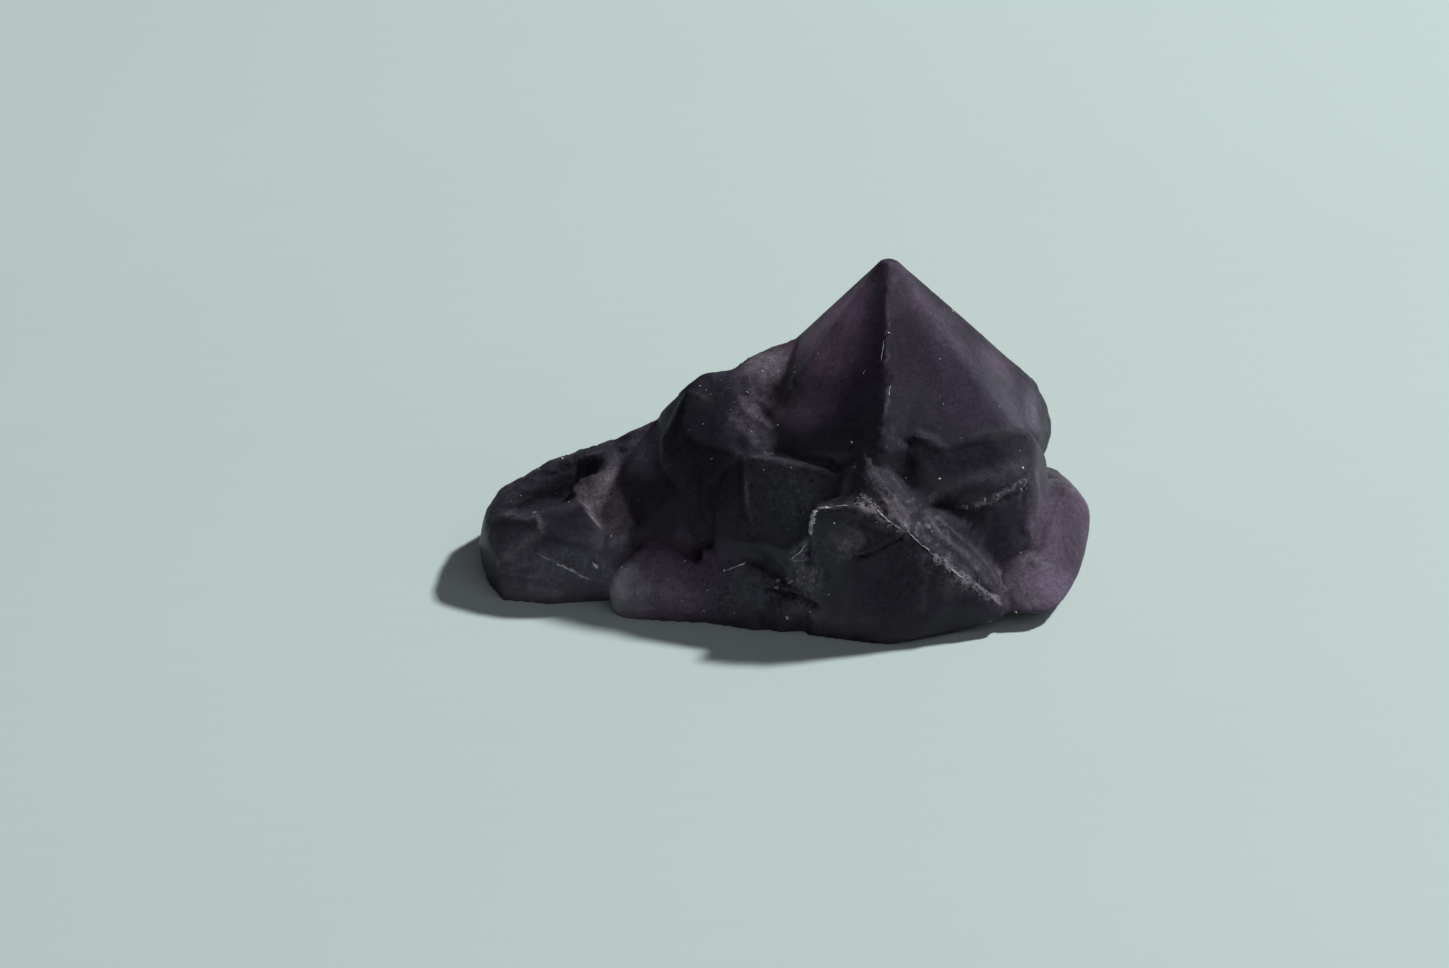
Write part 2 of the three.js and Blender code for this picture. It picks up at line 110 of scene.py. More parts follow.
# Light seams and streaks in the stone, and painted highlights along edges and rims: line, half width in
# millimetres and strength
LIGHT_SEAMS_AND_PAINTED_HIGHLIGHTS = (
    (((-21.3, -3.3, 4.9), (-19.5, -4.6, 5.9), (-17.7, -5.1, 6.0), (-17.2, -5.6, 5.8)), 0.16, 0.85),
    (((-17.4, -5.8, 5.6), (-18.3, -6.0, 4.7), (-19.6, -5.8, 3.6), (-20.7, -5.7, 2.8)), 0.32, 0.9),
    (((-21.7, -4.1, 0.8), (-20.3, -6.0, 2.3), (-19.0, -6.4, 2.8), (-17.6, -6.8, 3.3)), 0.16, 0.35),
    (((-17.7, -6.6, 3.9), (-16.8, -7.0, 3.5), (-15.8, -7.4, 3.1), (-14.1, -7.4, 2.0)), 0.13, 0.9),
    (((-14.5, -7.4, 4.2), (-14.3, -7.6, 3.0)), 0.12, 0.4),
    (((-15.6, 1.3, 6.6), (-14.2, 1.4, 7.1), (-12.8, 1.1, 7.6)), 0.2, 0.4),
    (((-19.9, -4.2, 5.9), (-19.4, -1.2, 4.8), (-18.2, -0.4, 4.9)), 0.2, 0.35),
    (((-8.9, 0.2, 9.6), (-8.7, -3.9, 10.2), (-9.1, -3.4, 8.0)), 0.32, 0.35),
    (((-6.3, -2.5, 13.7), (-6.6, -3.5, 12.8), (-7.1, -4.5, 11.4)), 0.28, 0.3),
    (((-3.3, -3.4, 12.7), (-2.4, -5.2, 12.3), (-1.6, -6.0, 11.9)), 0.34, 0.6),
    (((-2.6, -2.2, 13.1), (-1.7, -3.8, 12.7), (-0.5, -5.0, 12.4)), 0.26, 0.65),
    (((-0.1, -3.2, 13.3), (0.3, -4.4, 13.1)), 0.45, 0.6),
    (((1.3, -2.8, 14.5), (1.5, -4.1, 14.0), (1.3, -4.7, 13.4)), 0.2, 0.55),
    (((-2.1, 0.7, 13.5), (-0.8, 1.4, 13.7), (0.4, 2.5, 13.9)), 0.4, 0.35),
    (((-2.8, -6.9, 11.3), (-4.2, -6.7, 10.0), (-5.6, -6.4, 8.4)), 0.18, 0.3),
    (((-2.5, -7.1, 11.1), (-2.6, -9.0, 9.0), (-2.2, -10.4, 7.2)), 0.13, 0.3),
    (((8.2, -2.1, 20.9), (8.0, -4.0, 19.0), (7.8, -5.6, 17.3)), 0.09, 0.6),
    (((7.8, -6.7, 16.1), (7.6, -7.4, 15.3), (7.3, -8.5, 14.1), (7.0, -9.4, 13.0)), 0.10, 0.55),
    (((-2.0, -7.1, 11.2), (-0.4, -7.4, 11.1), (0.9, -7.7, 11.0), (3.4, -8.3, 10.7)), 0.11, 0.35),
    (((1.9, -11.6, 9.2), (2.6, -11.7, 9.6), (3.5, -11.8, 9.7)), 0.13, 0.9),
    (((1.9, -11.6, 9.1), (1.9, -11.9, 8.2), (1.8, -12.1, 7.4)), 0.24, 1),
    (((1.8, -12.1, 7.3), (1.2, -11.7, 6.4), (0.5, -11.9, 5.9)), 0.24, 0.8),
    (((5.7, -10.8, 11.4), (6.8, -11.8, 10.1), (8.1, -13.0, 8.5)), 0.14, 0.6),
    (((7.0, -9.8, 11.9), (8.0, -10.6, 10.4), (9.1, -11.2, 8.8)), 0.13, 0.45),
    (((6.3, -10.4, 11.6), (7.4, -11.5, 10.3), (8.5, -12.2, 8.8)), 0.2, 0.4),
    (((9.9, -11.4, 7.8), (11.1, -12.0, 6.5), (12.7, -12.2, 5.1)), 0.16, 0.5),
    (((10.7, -11.0, 7.7), (12.1, -11.4, 6.2), (14.0, -11.8, 4.2)), 0.16, 0.35),
    (((10.7, -10.0, 8.9), (12.5, -9.3, 9.6), (14.5, -9.0, 9.9), (16.4, -8.5, 10.1)), 0.5, 0.35),
    (((18.1, -7.7, 8.7), (18.3, -7.4, 7.1), (17.7, -9.5, 6.0), (17.3, -10.3, 4.8)), 0.4, 0.4),
    (((14.9, -11.1, 3.6), (15.7, -12.6, 2.6), (16.7, -13.7, 1.7)), 0.25, 0.5),
    (((19.7, -2.2, 4.7), (20.8, -3.4, 5.2), (21.2, -4.4, 5.1)), 0.5, 0.4),
    (((17.3, -10.6, 3.9), (18.2, -11.2, 3.3)), 0.25, 0.95),
    (((16.8, -10.9, 3.6), (16.6, -12.7, 2.5), (17.3, -13.5, 1.8)), 0.3, 0.5),
    (((9.5, -13.8, 6.1), (9.6, -14.3, 4.3), (9.1, -14.7, 2.7)), 0.3, 0.3),
    (((13.4, -11.4, 4.9), (14.3, -10.5, 5.9), (14.5, -10.0, 7.0)), 0.18, 0.25),
    (((7.6, -8.5, 14.1), (7.9, -8.8, 13.6), (8.3, -9.1, 13.1)), 0.1, 0.35),
    (((9.9, -11.2, 7.9), (10.7, -11.4, 7.1), (11.4, -11.9, 6.3)), 0.2, 0.8),
    (((1.8, -12.4, 6.0), (2.3, -12.8, 5.1), (2.1, -13.1, 3.6)), 0.18, 0.5),
    (((0.6, -12.0, 5.6), (0.7, -12.3, 4.5), (1.2, -12.5, 3.3)), 0.2, 0.5),
    (((4.5, -12.7, 8.3), (5.3, -13.0, 7.9), (5.0, -13.2, 7.1)), 0.2, 0.5),
    (((-12.3, -8.3, 3.8), (-12.6, -8.8, 2.6), (-12.5, -9.3, 1.4), (-11.1, -10.0, 0.7)), 0.55, 0.9),
    (((-0.8, -11.3, 4.7), (0.1, -12.3, 4.1), (1.6, -13.0, 3.1)), 0.2, 0.3),
)

# Dark seams and painted shade in recesses and under edges: line, half width in millimetres and strength
SHADES = (
    (
        ((-19.4, -1.7, 4.9), (-18.0, -0.4, 5.0), (-16.2, -0.4, 5.2), (-14.6, -0.4, 6.0), (-13.6, 0.0, 6.9)),
        0.9, 0.85,
    ),
    (((8.7, -8.9, 13.0), (8.8, -9.3, 12.2), (8.8, -9.4, 11.2)), 0.14, 0.9),
    (((7.7, -5.9, 16.8), (8.0, -6.2, 16.4), (7.6, -6.7, 16.0)), 0.12, 0.8),
    (((7.9, -3.5, 19.2), (7.9, -4.8, 17.9)), 0.08, 0.5),
    (((1.6, -2.7, 14.8), (1.5, -4.4, 13.8)), 0.2, 0.6),
    (((20.4, -4.6, 5.5), (19.4, -7.1, 5.3), (18.5, -9.0, 4.8), (18.1, -10.1, 4.1)), 0.2, 0.5),
    (((5.3, -13.5, 6.6), (6.5, -13.4, 7.1), (7.9, -13.4, 7.7)), 0.12, 0.7),
    (((-1.4, -12.2, 3.3), (-0.1, -12.5, 2.9), (1.5, -13.1, 2.6)), 0.2, 1),
    (((8.5, -13.2, 8.0), (10.6, -13.6, 5.8), (13.0, -14.0, 3.5)), 0.2, 0.5),
    (((9.3, -11.3, 8.5), (11.4, -11.4, 6.8), (13.5, -11.9, 4.6), (14.6, -13.2, 2.8)), 0.25, 0.6),
    (((11.7, -10.1, 7.8), (13.4, -10.1, 7.3), (15.2, -9.8, 7.9), (17.0, -9.3, 8.7)), 0.28, 0.6),
    (((-2.0, -7.4, 11.0), (0.6, -7.9, 10.8), (3.1, -8.6, 10.4)), 0.14, 0.35),
    (((-20.6, -6.2, 1.9), (-18.8, -6.8, 1.7), (-16.6, -7.2, 1.6)), 0.2, 0.5),
    (((-19.6, -6.6, 2.6), (-18.4, -6.9, 2.5)), 0.18, 0.4),
    (((9.6, -9.1, 13.3), (10.4, -9.2, 12.3), (11.3, -9.1, 12.0)), 0.2, 0.8),
    (((11.3, -9.1, 12.0), (13.7, -8.3, 12.1), (15.9, -7.2, 12.0), (17.4, -6.7, 11.3)), 0.24, 0.7),
    (((5.6, -12.8, 8.6), (6.4, -13.0, 8.2), (7.4, -13.2, 7.9)), 0.3, 0.5),
    (((-1.2, -2.8, 13.0), (-0.5, -4.3, 12.8)), 0.26, 0.6),
    (((-2.6, -3.2, 12.9), (-2.0, -4.2, 12.6), (-0.9, -5.2, 12.4)), 0.22, 0.6),
    (((-6.3, -4.7, 11.7), (-5.7, -5.9, 9.7), (-5.8, -6.9, 6.1)), 0.3, 0.4),
    (((-2.9, -7.3, 10.7), (-3.0, -8.9, 8.8), (-2.5, -10.7, 6.6)), 0.12, 0.3),
)

# Bright splinters that lie on the surface: line and width in millimetres
SPLINTERS = (
    (((8.3, -13.1, 8.4), (8.9, -13.3, 7.6), (9.6, -13.4, 6.9), (10.4, -13.5, 6.1)), 0.16),
    (((6.3, -12.4, 9.6), (7.1, -12.8, 8.9), (8.1, -13.1, 8.3)), 0.17),
    (((11.2, -13.7, 5.3), (11.8, -13.8, 4.7), (12.3, -13.9, 4.2)), 0.14),
    (((2.1, -11.7, 9.4), (2.0, -11.8, 8.9), (1.9, -11.9, 8.4), (1.8, -12.1, 7.5)), 0.42),
    (((2.3, -11.7, 9.4), (2.2, -11.8, 8.9), (2.0, -11.9, 8.4)), 0.34),
    (((1.9, -11.6, 9.3), (2.4, -11.7, 9.6), (3.3, -11.9, 9.7)), 0.20),
    (((3.3, -11.9, 9.7), (4.6, -12.1, 9.9)), 0.12),
    (((1.5, -11.9, 6.8), (0.9, -12.0, 6.2), (0.3, -12.1, 5.7)), 0.16),
    (((0.3, -12.1, 5.7), (1.2, -12.1, 5.6)), 0.10),
    (((-17.7, -6.6, 4.0), (-17.2, -6.9, 3.7), (-16.5, -7.1, 3.4)), 0.18),
    (((-16.5, -7.1, 3.4), (-15.8, -7.4, 3.1), (-15.2, -7.5, 2.8), (-14.3, -7.5, 2.0)), 0.32),
    (((-13.8, -7.6, 3.6), (-13.5, -7.7, 2.9)), 0.40),
    (((-4.2, -10.4, 4.0), (-3.9, -10.5, 4.2), (-3.4, -10.7, 4.5), (-2.9, -10.9, 4.9)), 0.20),
    (((-22.1, -2.8, 0.4), (-21.8, -4.0, 0.6)), 0.16),
    (((7.4, -5.4, 17.4), (7.7, -4.4, 18.5)), 0.07),
    (((7.9, -6.6, 16.0), (7.7, -7.1, 15.5)), 0.10),
)


# Single pale grains on the stone, and the size of the largest, in millimetres
SPECKS = (
    (-10.7, -10.1, 2.2), (-7.6, -10.7, 1.8), (-7.2, -8.8, 4.0), (-4.8, -6.1, 10.7), (-5.3, -4.0, 12.3),
    (-5.7, -10.4, 2.4), (-4.5, -10.4, 4.0), (-3.9, -11.7, 1.2), (-0.2, -12.7, 1.2), (1.1, -12.3, 4.3),
    (3.5, -12.3, 8.7), (5.0, -8.5, 12.8), (2.8, -13.3, 3.4), (1.4, -13.2, 1.9), (-0.8, 0.5, 13.8),
    (0.3, 0.3, 13.7), (1.5, -2.0, 14.9), (8.1, -4.1, 18.9), (11.0, -9.7, 10.1), (8.6, -9.8, 10.4),
    (-12.3, -6.9, 5.1), (-17.5, 2.2, 5.2), (-15.9, 2.4, 6.2), (17.0, -8.6, 9.9), (-0.9, -12.4, 3.6),
)
SPECK_MM = 0.13


def stacked(points):
    """Points in metres, as a plain array."""
    return np.array(points, dtype=float) * MM


# Node arithmetic


class Sock:
    """A node socket that Python arithmetic can be done on: each operation adds its own Math node."""

    def __init__(self, tree, socket):
        self.tree = tree
        self.socket = socket

    def is_vector(self):
        """Whether the socket carries three numbers."""
        return self.socket.type in {"VECTOR", "RGBA"}

    def math(self, operation, *others, clamp=False):
        """A Math node of this operation."""
        made = self.tree.nodes.new("ShaderNodeMath")
        made.operation = operation
        made.use_clamp = clamp
        for place, value in enumerate((self, *others)):
            plug(self.tree, made.inputs[place], value)
        return Sock(self.tree, made.outputs[0])

    def vector(self, operation, *others, out=0):
        """A Vector Math node of this operation."""
        made = self.tree.nodes.new("ShaderNodeVectorMath")
        made.operation = operation
        plug(self.tree, made.inputs[0], self)
        for place, value in enumerate(others, start=1):
            wants_number = operation == "SCALE"
            plug(self.tree, made.inputs[3 if wants_number else place], value)
        return Sock(self.tree, made.outputs[out])

    def __add__(self, other):
        return self.vector("ADD", other) if self.is_vector() else self.math("ADD", other)

    __radd__ = __add__

    def __sub__(self, other):
        return self.vector("SUBTRACT", other) if self.is_vector() else self.math("SUBTRACT", other)

    def __rsub__(self, other):
        return (self * -1.0) + other

    def __mul__(self, other):
        if not self.is_vector():
            return self.math("MULTIPLY", other)
        single = isinstance(other, (int, float)) or (isinstance(other, Sock) and not other.is_vector())
        return self.vector("SCALE", other) if single else self.vector("MULTIPLY", other)

    __rmul__ = __mul__

    def __truediv__(self, other):
        return self.vector("DIVIDE", other) if self.is_vector() else self.math("DIVIDE", other)

    def __rtruediv__(self, other):
        return self.math("POWER", -1.0) * other

    def __pow__(self, other):
        return self.math("POWER", other)

    def __neg__(self):
        return self * -1.0

    def clamped(self):
        """Kept between 0 and 1."""
        return self.math("ADD", 0.0, clamp=True)

    def ramp(self, low, high):
        """0 below low, 1 above high, eased between."""
        return add_node(
            self.tree, "ShaderNodeMapRange", {"interpolation_type": "SMOOTHSTEP"},
            {"Value": self, "From Min": low, "From Max": high},
        ).out("Result")

    def largest(self, other):
        """The larger of two numbers."""
        return self.math("MAXIMUM", other)


class Node:
    """A node and its outputs as Sock values."""

    def __init__(self, tree, node):
        self.tree = tree
        self.node = node

    def out(self, name=0):
        """The output of this name or number."""
        return Sock(self.tree, self.node.outputs[name])


def plug(tree, socket, value):
    """Links a Sock to an input, or sets the input's own value."""
    if isinstance(value, Sock):
        tree.links.new(value.socket, socket)
    elif isinstance(value, (tuple, list)) and socket.type == "RGBA" and len(value) == 3:
        socket.default_value = (*value, 1.0)
    elif isinstance(value, (int, float)) and socket.type == "VECTOR":
        socket.default_value = (value, value, value)
    else:
        socket.default_value = value


def add_node(tree, kind, settings=None, values=None):
    """Any node: its settings first, then its input values and links."""
    made = tree.nodes.new(kind)
    for name, value in (settings or {}).items():
        setattr(made, name, value)
    for name, value in (values or {}).items():
        plug(tree, made.inputs[name], value)
    return Node(tree, made)


def blended(tree, share, first, second):
    """Two colours mixed by a share."""
    made = tree.nodes.new("ShaderNodeMix")
    made.data_type = "RGBA"
    plug(tree, made.inputs[0], share)
    plug(tree, made.inputs[6], first)
    plug(tree, made.inputs[7], second)
    return Sock(tree, made.outputs[2])


def noise_at(tree, place, scale, detail=3.0, rough=0.55, twist=0.0):
    """Fractal noise, 0 to 1, at a place given in millimetres."""
    return add_node(
        tree, "ShaderNodeTexNoise", {"noise_dimensions": "3D"},
        {"Vector": place, "Scale": scale, "Detail": detail, "Roughness": rough, "Distortion": twist},
    ).out(0)


def surface_value(tree, name):
    """A number painted on the surface's points."""
    return add_node(tree, "ShaderNodeAttribute", {"attribute_name": name}).out("Fac")


def new_material(name):
    """An empty material and its tree, with the output node."""
    material = bpy.data.materials.new(name)
    material.use_nodes = True
    tree = material.node_tree
    tree.nodes.clear()
    output = add_node(tree, "ShaderNodeOutputMaterial")
    return material, tree, output


def object_place(tree):
    """The point on the surface, in millimetres."""
    return add_node(tree, "ShaderNodeTexCoord").out("Object") * 1000.0


# Materials


def quartz_material(look):
    """Dark amethyst: clear quartz that absorbs, with milky and pearly places on its surface, and light and
    shade painted into its colour.
    """
    material, tree, output = new_material("amethyst quartz")
    place = object_place(tree)
    broken = surface_value(tree, "broken")
    violet = surface_value(tree, "violet")
    painted_mauve_light = surface_value(tree, "painted_mauve_light")
    lavender_haze_and_painted_light = surface_value(tree, "lavender_haze_and_painted_light")
    pearl = surface_value(tree, "pearl")
    painted_shade = surface_value(tree, "painted_shade")

    grain = noise_at(tree, place, 6.0, detail=4.0, rough=0.6)
    swell = noise_at(tree, place, 0.55, detail=3.0)
    fine = noise_at(tree, place, 2.2, detail=5.0, rough=0.62, twist=0.4)
    height = (fine * 0.05 + grain * 0.012) * broken + grain * 0.012 + swell * 0.03
    relief = add_node(
        tree, "ShaderNodeBump", {},
        {"Height": height, "Distance": MM, "Strength": look.relief},
    ).out("Normal")

    polish = grain * 0.06 + fine * 0.14 * broken + look.polish
    clear = add_node(
        tree, "ShaderNodeBsdfPrincipled", {},
        {
            "Base Color": blended(tree, swell, (0.93, 0.86, 0.95), (0.98, 0.95, 0.99)),
            "Roughness": polish,
            "IOR": look.ior,
            "Specular IOR Level": look.gloss,
            "Transmission Weight": 1.0,
            "Normal": relief,
        },
    )
    streaks = noise_at(tree, place, 1.3, detail=5.0, rough=0.6, twist=0.8)
    flakes = noise_at(tree, place, 1.9, detail=6.0, rough=0.65, twist=0.6)
    veils = noise_at(tree, place, 0.7, detail=6.0, rough=0.6, twist=1.6)
    pits = noise_at(tree, place, 5.5, detail=2.0, rough=0.5)
    uneven = streaks * 0.8 + 0.6
    tone = blended(tree, (violet * uneven).clamped(), look.deep_colour[:], look.violet_colour[:])
    slate = surface_value(tree, "slate")
    tone = blended(tree, slate, tone, look.slate_colour[:])
    # Painted light: mauve where light seems to come through thin parts.
    tone = blended(tree, (painted_mauve_light * uneven).clamped(), tone, look.painted_mauve_light_colour[:])
    # Partly the stone's own milky haze, partly painted light on faces away from the lamps.
    tone = blended(tree, (lavender_haze_and_painted_light * uneven).clamped(), tone, look.lavender_haze_and_painted_light_colour[:])
    # Painted light: pink light in thin edges away from the lamp.
    tone = blended(tree, (surface_value(tree, "painted_rose_light") * uneven).clamped(), tone, look.painted_rose_light_colour[:])
    # Painted light: milky light on faces away from the lamp.
    tone = blended(tree, (surface_value(tree, "lilac") * uneven).clamped(), tone, look.painted_lilac_light_colour[:])
    tone = blended(tree, (pearl * (flakes * 1.6 + 0.1)).clamped(), tone, look.pearl_colour[:])
    # Partly real light seams and streaks, partly painted highlights along edges and rims.
    pale = (surface_value(tree, "pale") * (pits * 1.0 + 0.35)).clamped()
    tone = blended(tree, pale, tone, look.seam_and_painted_highlight_colour[:])
    # Painted shade: darkens hollows, rims along the outline and lit faces that should look darker.
    tone = blended(tree, painted_shade * 0.9, tone, look.painted_shade_colour[:])
    mottle = noise_at(tree, place, 2.7, detail=4.0, rough=0.7)
    speckled = (pits * 1.1 + grain * 1.2 + mottle * 1.4 - 1.85) * (broken * 0.7 + slate * 0.7 + 0.6) + 1.0
    tone = tone * (veils * 1.1 + 0.45) * speckled
    # Painted shade: open cracks, dark seams, shaded recesses and lines under edges darken the colour.
    dark = surface_value(tree, "crack").largest(surface_value(tree, "shade"))
    tone = blended(tree, dark * 0.8, tone, (0.004, 0.003, 0.005))
    fresh = surface_value(tree, "fresh")
    ragged = (fresh * 1.5 + noise_at(tree, place, 3.4, detail=5.0, rough=0.7) - 1.0).ramp(0.0, 0.4)
    tone = blended(tree, ragged * (mottle * 1.2 + 0.1), tone, look.crumb_colour[:])
    cloudy = add_node(
        tree, "ShaderNodeBsdfPrincipled", {},
        {
            "Base Color": tone, "Roughness": polish + 0.26, "IOR": look.ior,
            "Specular IOR Level": look.haze_gloss, "Normal": relief,
        },
    )
    milk_and_painted_light = violet.largest(painted_mauve_light).largest(lavender_haze_and_painted_light).largest(pearl)
    # The hazy share grows with the stone's milky and pearly places, its crumbs, the painted light and the
    # painted shade.
    cloud = milk_and_painted_light * 0.5 + ragged + painted_shade + dark + (1.0 - look.clearness)
    share = (cloud * (1.0 - surface_value(tree, "clear") * 0.8)).clamped()
    surface = add_node(
        tree, "ShaderNodeMixShader", {},
        {0: share, 1: clear.out(), 2: cloudy.out()},
    )
    depth = add_node(
        tree, "ShaderNodeVolumeAbsorption", {},
        {"Color": tuple(look.depth_colour[:]), "Density": look.depth_density},
    )
    plug(tree, output.node.inputs["Surface"], surface.out())
    plug(tree, output.node.inputs["Volume"], depth.out())
    return material


def crumb_material(look):
    """Fresh fracture crumbs, from lilac grey to nearly white."""
    material, tree, output = new_material("fracture crumbs")
    place = object_place(tree)
    speckle = noise_at(tree, place, 4.5, detail=3.0)
    shader = add_node(
        tree, "ShaderNodeBsdfPrincipled", {},
        {
            "Base Color": blended(tree, speckle.ramp(0.38, 0.66), (0.15, 0.135, 0.165), look.crumb_colour[:]),
            "Roughness": speckle * 0.3 + 0.45,
            "IOR": look.ior,
        },
    )
    plug(tree, output.node.inputs["Surface"], shader.out())
    return material


def splinter_material(look):
    """Thin lifted quartz that looks pale because it is cracked through."""
    material, tree, output = new_material("bright splinters")
    place = object_place(tree)
    speckle = noise_at(tree, place, 2.2, detail=4.0, rough=0.65)
    shader = add_node(
        tree, "ShaderNodeBsdfPrincipled", {},
        {
            "Base Color": blended(tree, speckle.ramp(0.35, 0.7), (0.24, 0.22, 0.26), (0.74, 0.72, 0.76)),
            "Roughness": speckle * 0.3 + 0.25,
            "IOR": look.ior,
        },
    )
    plug(tree, output.node.inputs["Surface"], shader.out())
    return material


def dust_material():
    """Pale household dust and lint."""
    material, tree, output = new_material("dust")
    place = object_place(tree)
    speckle = noise_at(tree, place, 9.0, detail=2.0)
    shader = add_node(
        tree, "ShaderNodeBsdfPrincipled", {},
        {
            "Base Color": blended(tree, speckle, (0.55, 0.55, 0.54), (0.85, 0.84, 0.82)),
            "Roughness": 0.9,
        },
    )
    plug(tree, output.node.inputs["Surface"], shader.out())
    return material


def floor_material(stage):
    """Plain pale painted surface."""
    material, tree, output = new_material("pale floor")
    place = object_place(tree)
    strokes = noise_at(tree, place * (0.06, 0.9, 1.0), 1.0, detail=4.0, rough=0.6, twist=0.3)
    cloud = noise_at(tree, place, 0.02, detail=2.0) * 0.7 + strokes * 0.35
    pale = tuple(stage.floor_colour[:])
    shader = add_node(
        tree, "ShaderNodeBsdfPrincipled", {},
        {
            "Base Color": blended(
                tree, cloud, tuple(1.02 * tone for tone in pale), tuple(0.95 * tone for tone in pale),
            ),
            "Roughness": 0.7,
        },
    )
    plug(tree, output.node.inputs["Surface"], shader.out())
    return material


# Shapes


def link_mesh(name, mesh):
    """A new object in the scene at the origin."""
    piece = bpy.data.objects.new(name, mesh)
    bpy.context.scene.collection.objects.link(piece)
    return piece


def settled_mesh(piece, name):
    """The piece's mesh with its modifiers done, as a plain mesh, the piece itself removed."""
    graph = bpy.context.evaluated_depsgraph_get()
    mesh = bpy.data.meshes.new_from_object(piece.evaluated_get(graph))
    mesh.name = name
    old = piece.data
    bpy.data.objects.remove(piece)
    if old.users == 0 and isinstance(old, bpy.types.Mesh):
        bpy.data.meshes.remove(old)
    return mesh


def evened_copy(node, fineness, wear):
    """The node's solid as an evenly fine mesh with its edges worn round."""
    mesh = node.data.copy()
    shape = bmesh.new()
    shape.from_mesh(mesh)
    bmesh.ops.remove_doubles(shape, verts=shape.verts, dist=1e-7)
    shape.to_mesh(mesh)
    shape.free()
    rough = link_mesh("rough quartz", mesh)
    remesh = rough.modifiers.new("Even", "REMESH")
    remesh.mode = "VOXEL"
    remesh.voxel_size = fineness
    smooth = rough.modifiers.new("Worn", "SMOOTH")
    smooth.factor = 0.5
    smooth.iterations = wear
    return settled_mesh(rough, "quartz")


def mesh_arrays(mesh):
    """Positions and normals of a mesh's points."""
    count = len(mesh.vertices)
    places = np.empty(count * 3)
    mesh.vertices.foreach_get("co", places)
    normals = np.empty(count * 3)
    mesh.vertex_normals.foreach_get("vector", normals)
    return places.reshape(-1, 3), normals.reshape(-1, 3)


def face_normals_of_point():
    """Outward normals of the main point's six faces."""
    back, right = (math.radians(angle) for angle in CRYSTAL_LEAN)
    lean = Matrix.Rotation(right, 3, "Y") @ Matrix.Rotation(-back, 3, "X")
    slope = math.radians(FACE_SLOPE)
    normals = []
    for index in range(6):
        heading = math.radians(EDGE_HEADING + 30 + 60 * index)
        flat = math.sin(slope)
        normals.append(lean @ Vector((flat * math.cos(heading), flat * math.sin(heading), math.cos(slope))))
    return np.array(normals)


def grown_share(places, normals):
    """1 where a point lies on a grown face of the main point, 0 on broken ground."""
    apex = stacked(APEX)
    share = np.zeros(len(places))
    for facing in face_normals_of_point():
        off = np.abs((places - apex) @ facing)
        near = np.clip(1.6 - off / (0.15 * MM), 0, 1)
        along = np.clip((normals @ facing - 0.9) / 0.06, 0, 1)
        share = np.maximum(share, near * along)
    return share


def noise_values(places, scale, octaves, seed):
    """Fractal noise, about -1 to 1, with `scale` waves a millimetre."""
    shift = Vector((seed * 7.31, seed * 3.17, seed * 5.71))
    factor = scale / MM
    return np.array([
        noise.fractal(Vector(place) * factor + shift, 1.0, 2.0, octaves)
        for place in places
    ])


def eased(value, low, high):
    """0 below low, 1 above high, eased between."""
    share = np.clip((value - low) / (high - low), 0, 1)
    return share * share * (3 - 2 * share)


def neighbour_middles(places, edges, counts):
    """The middle of each point's neighbours."""
    middles = np.empty_like(places)
    for axis in range(3):
        along = places[:, axis]
        first = np.bincount(edges[:, 0], along[edges[:, 1]], len(places))
        second = np.bincount(edges[:, 1], along[edges[:, 0]], len(places))
        middles[:, axis] = (first + second) / counts
    return middles


def softened(places, edges, share, rounds):
    """Places drawn toward the middle of their neighbours, as far as share says."""
    counts = np.bincount(edges.ravel(), minlength=len(places))
    for _ in range(rounds):
        places = places + (neighbour_middles(places, edges, counts) - places) * (0.6 * share[:, None])
    return places


def best_plane(outline):
    """Middle of an outline, and the axes of the plane through it, the last one its outward normal."""
    middle = outline.mean(axis=0)
    _, _, axes = np.linalg.svd(outline - middle)
    upward = axes[2] if axes[2] @ np.array((0.0, -0.6, 0.8)) > 0 else -axes[2]
    return middle, np.array((axes[0], axes[1], upward))


def inside_depth(flat, corners):
    """How deep flat points lie inside a flat outline, negative outside."""
    nearest = np.full(len(flat), np.inf)
    crossings = np.zeros(len(flat), dtype=bool)
    for start, end in zip(corners, np.roll(corners, -1, axis=0)):
        span = end - start
        along = np.clip(((flat - start) @ span) / (span @ span), 0, 1)
        nearest = np.minimum(nearest, np.linalg.norm(flat - start - along[:, None] * span, axis=1))
        straddles = (start[1] > flat[:, 1]) != (end[1] > flat[:, 1])
        rise = end[1] - start[1] if end[1] != start[1] else 1e-12
        crossings ^= straddles & (flat[:, 0] < (flat[:, 1] - start[1]) / rise * span[0] + start[0])
    return np.where(crossings, nearest, -nearest)


def plate_share(places, normals, outline, edge_width, reach=2.2):
    """1 on the surface inside an outline, easing to 0 over the width of its edge."""
    points = stacked(outline)
    middle, axes = best_plane(points)
    local = (places - middle) @ axes.T
    depth = inside_depth(local[:, :2], ((points - middle) @ axes.T)[:, :2])
    near = 1 - eased(np.abs(local[:, 2]), reach * MM, 1.5 * reach * MM)
    facing = eased(normals @ axes[2], 0.1, 0.4)
    return eased(depth, -edge_width * MM, edge_width * MM) * near * facing, local[:, 2], axes[2]


def line_distance(places, points):
    """Distance from each place to a line through points, in millimetres."""
    line = np.array(points, dtype=float)
    here = places / MM
    nearest = np.full(len(places), np.inf)
    for start, end in zip(line, line[1:]):
        span = end - start
        along = np.clip(((here - start) @ span) / max(span @ span, 1e-9), 0, 1)
        nearest = np.minimum(nearest, np.linalg.norm(here - start - along[:, None] * span, axis=1))
    return nearest


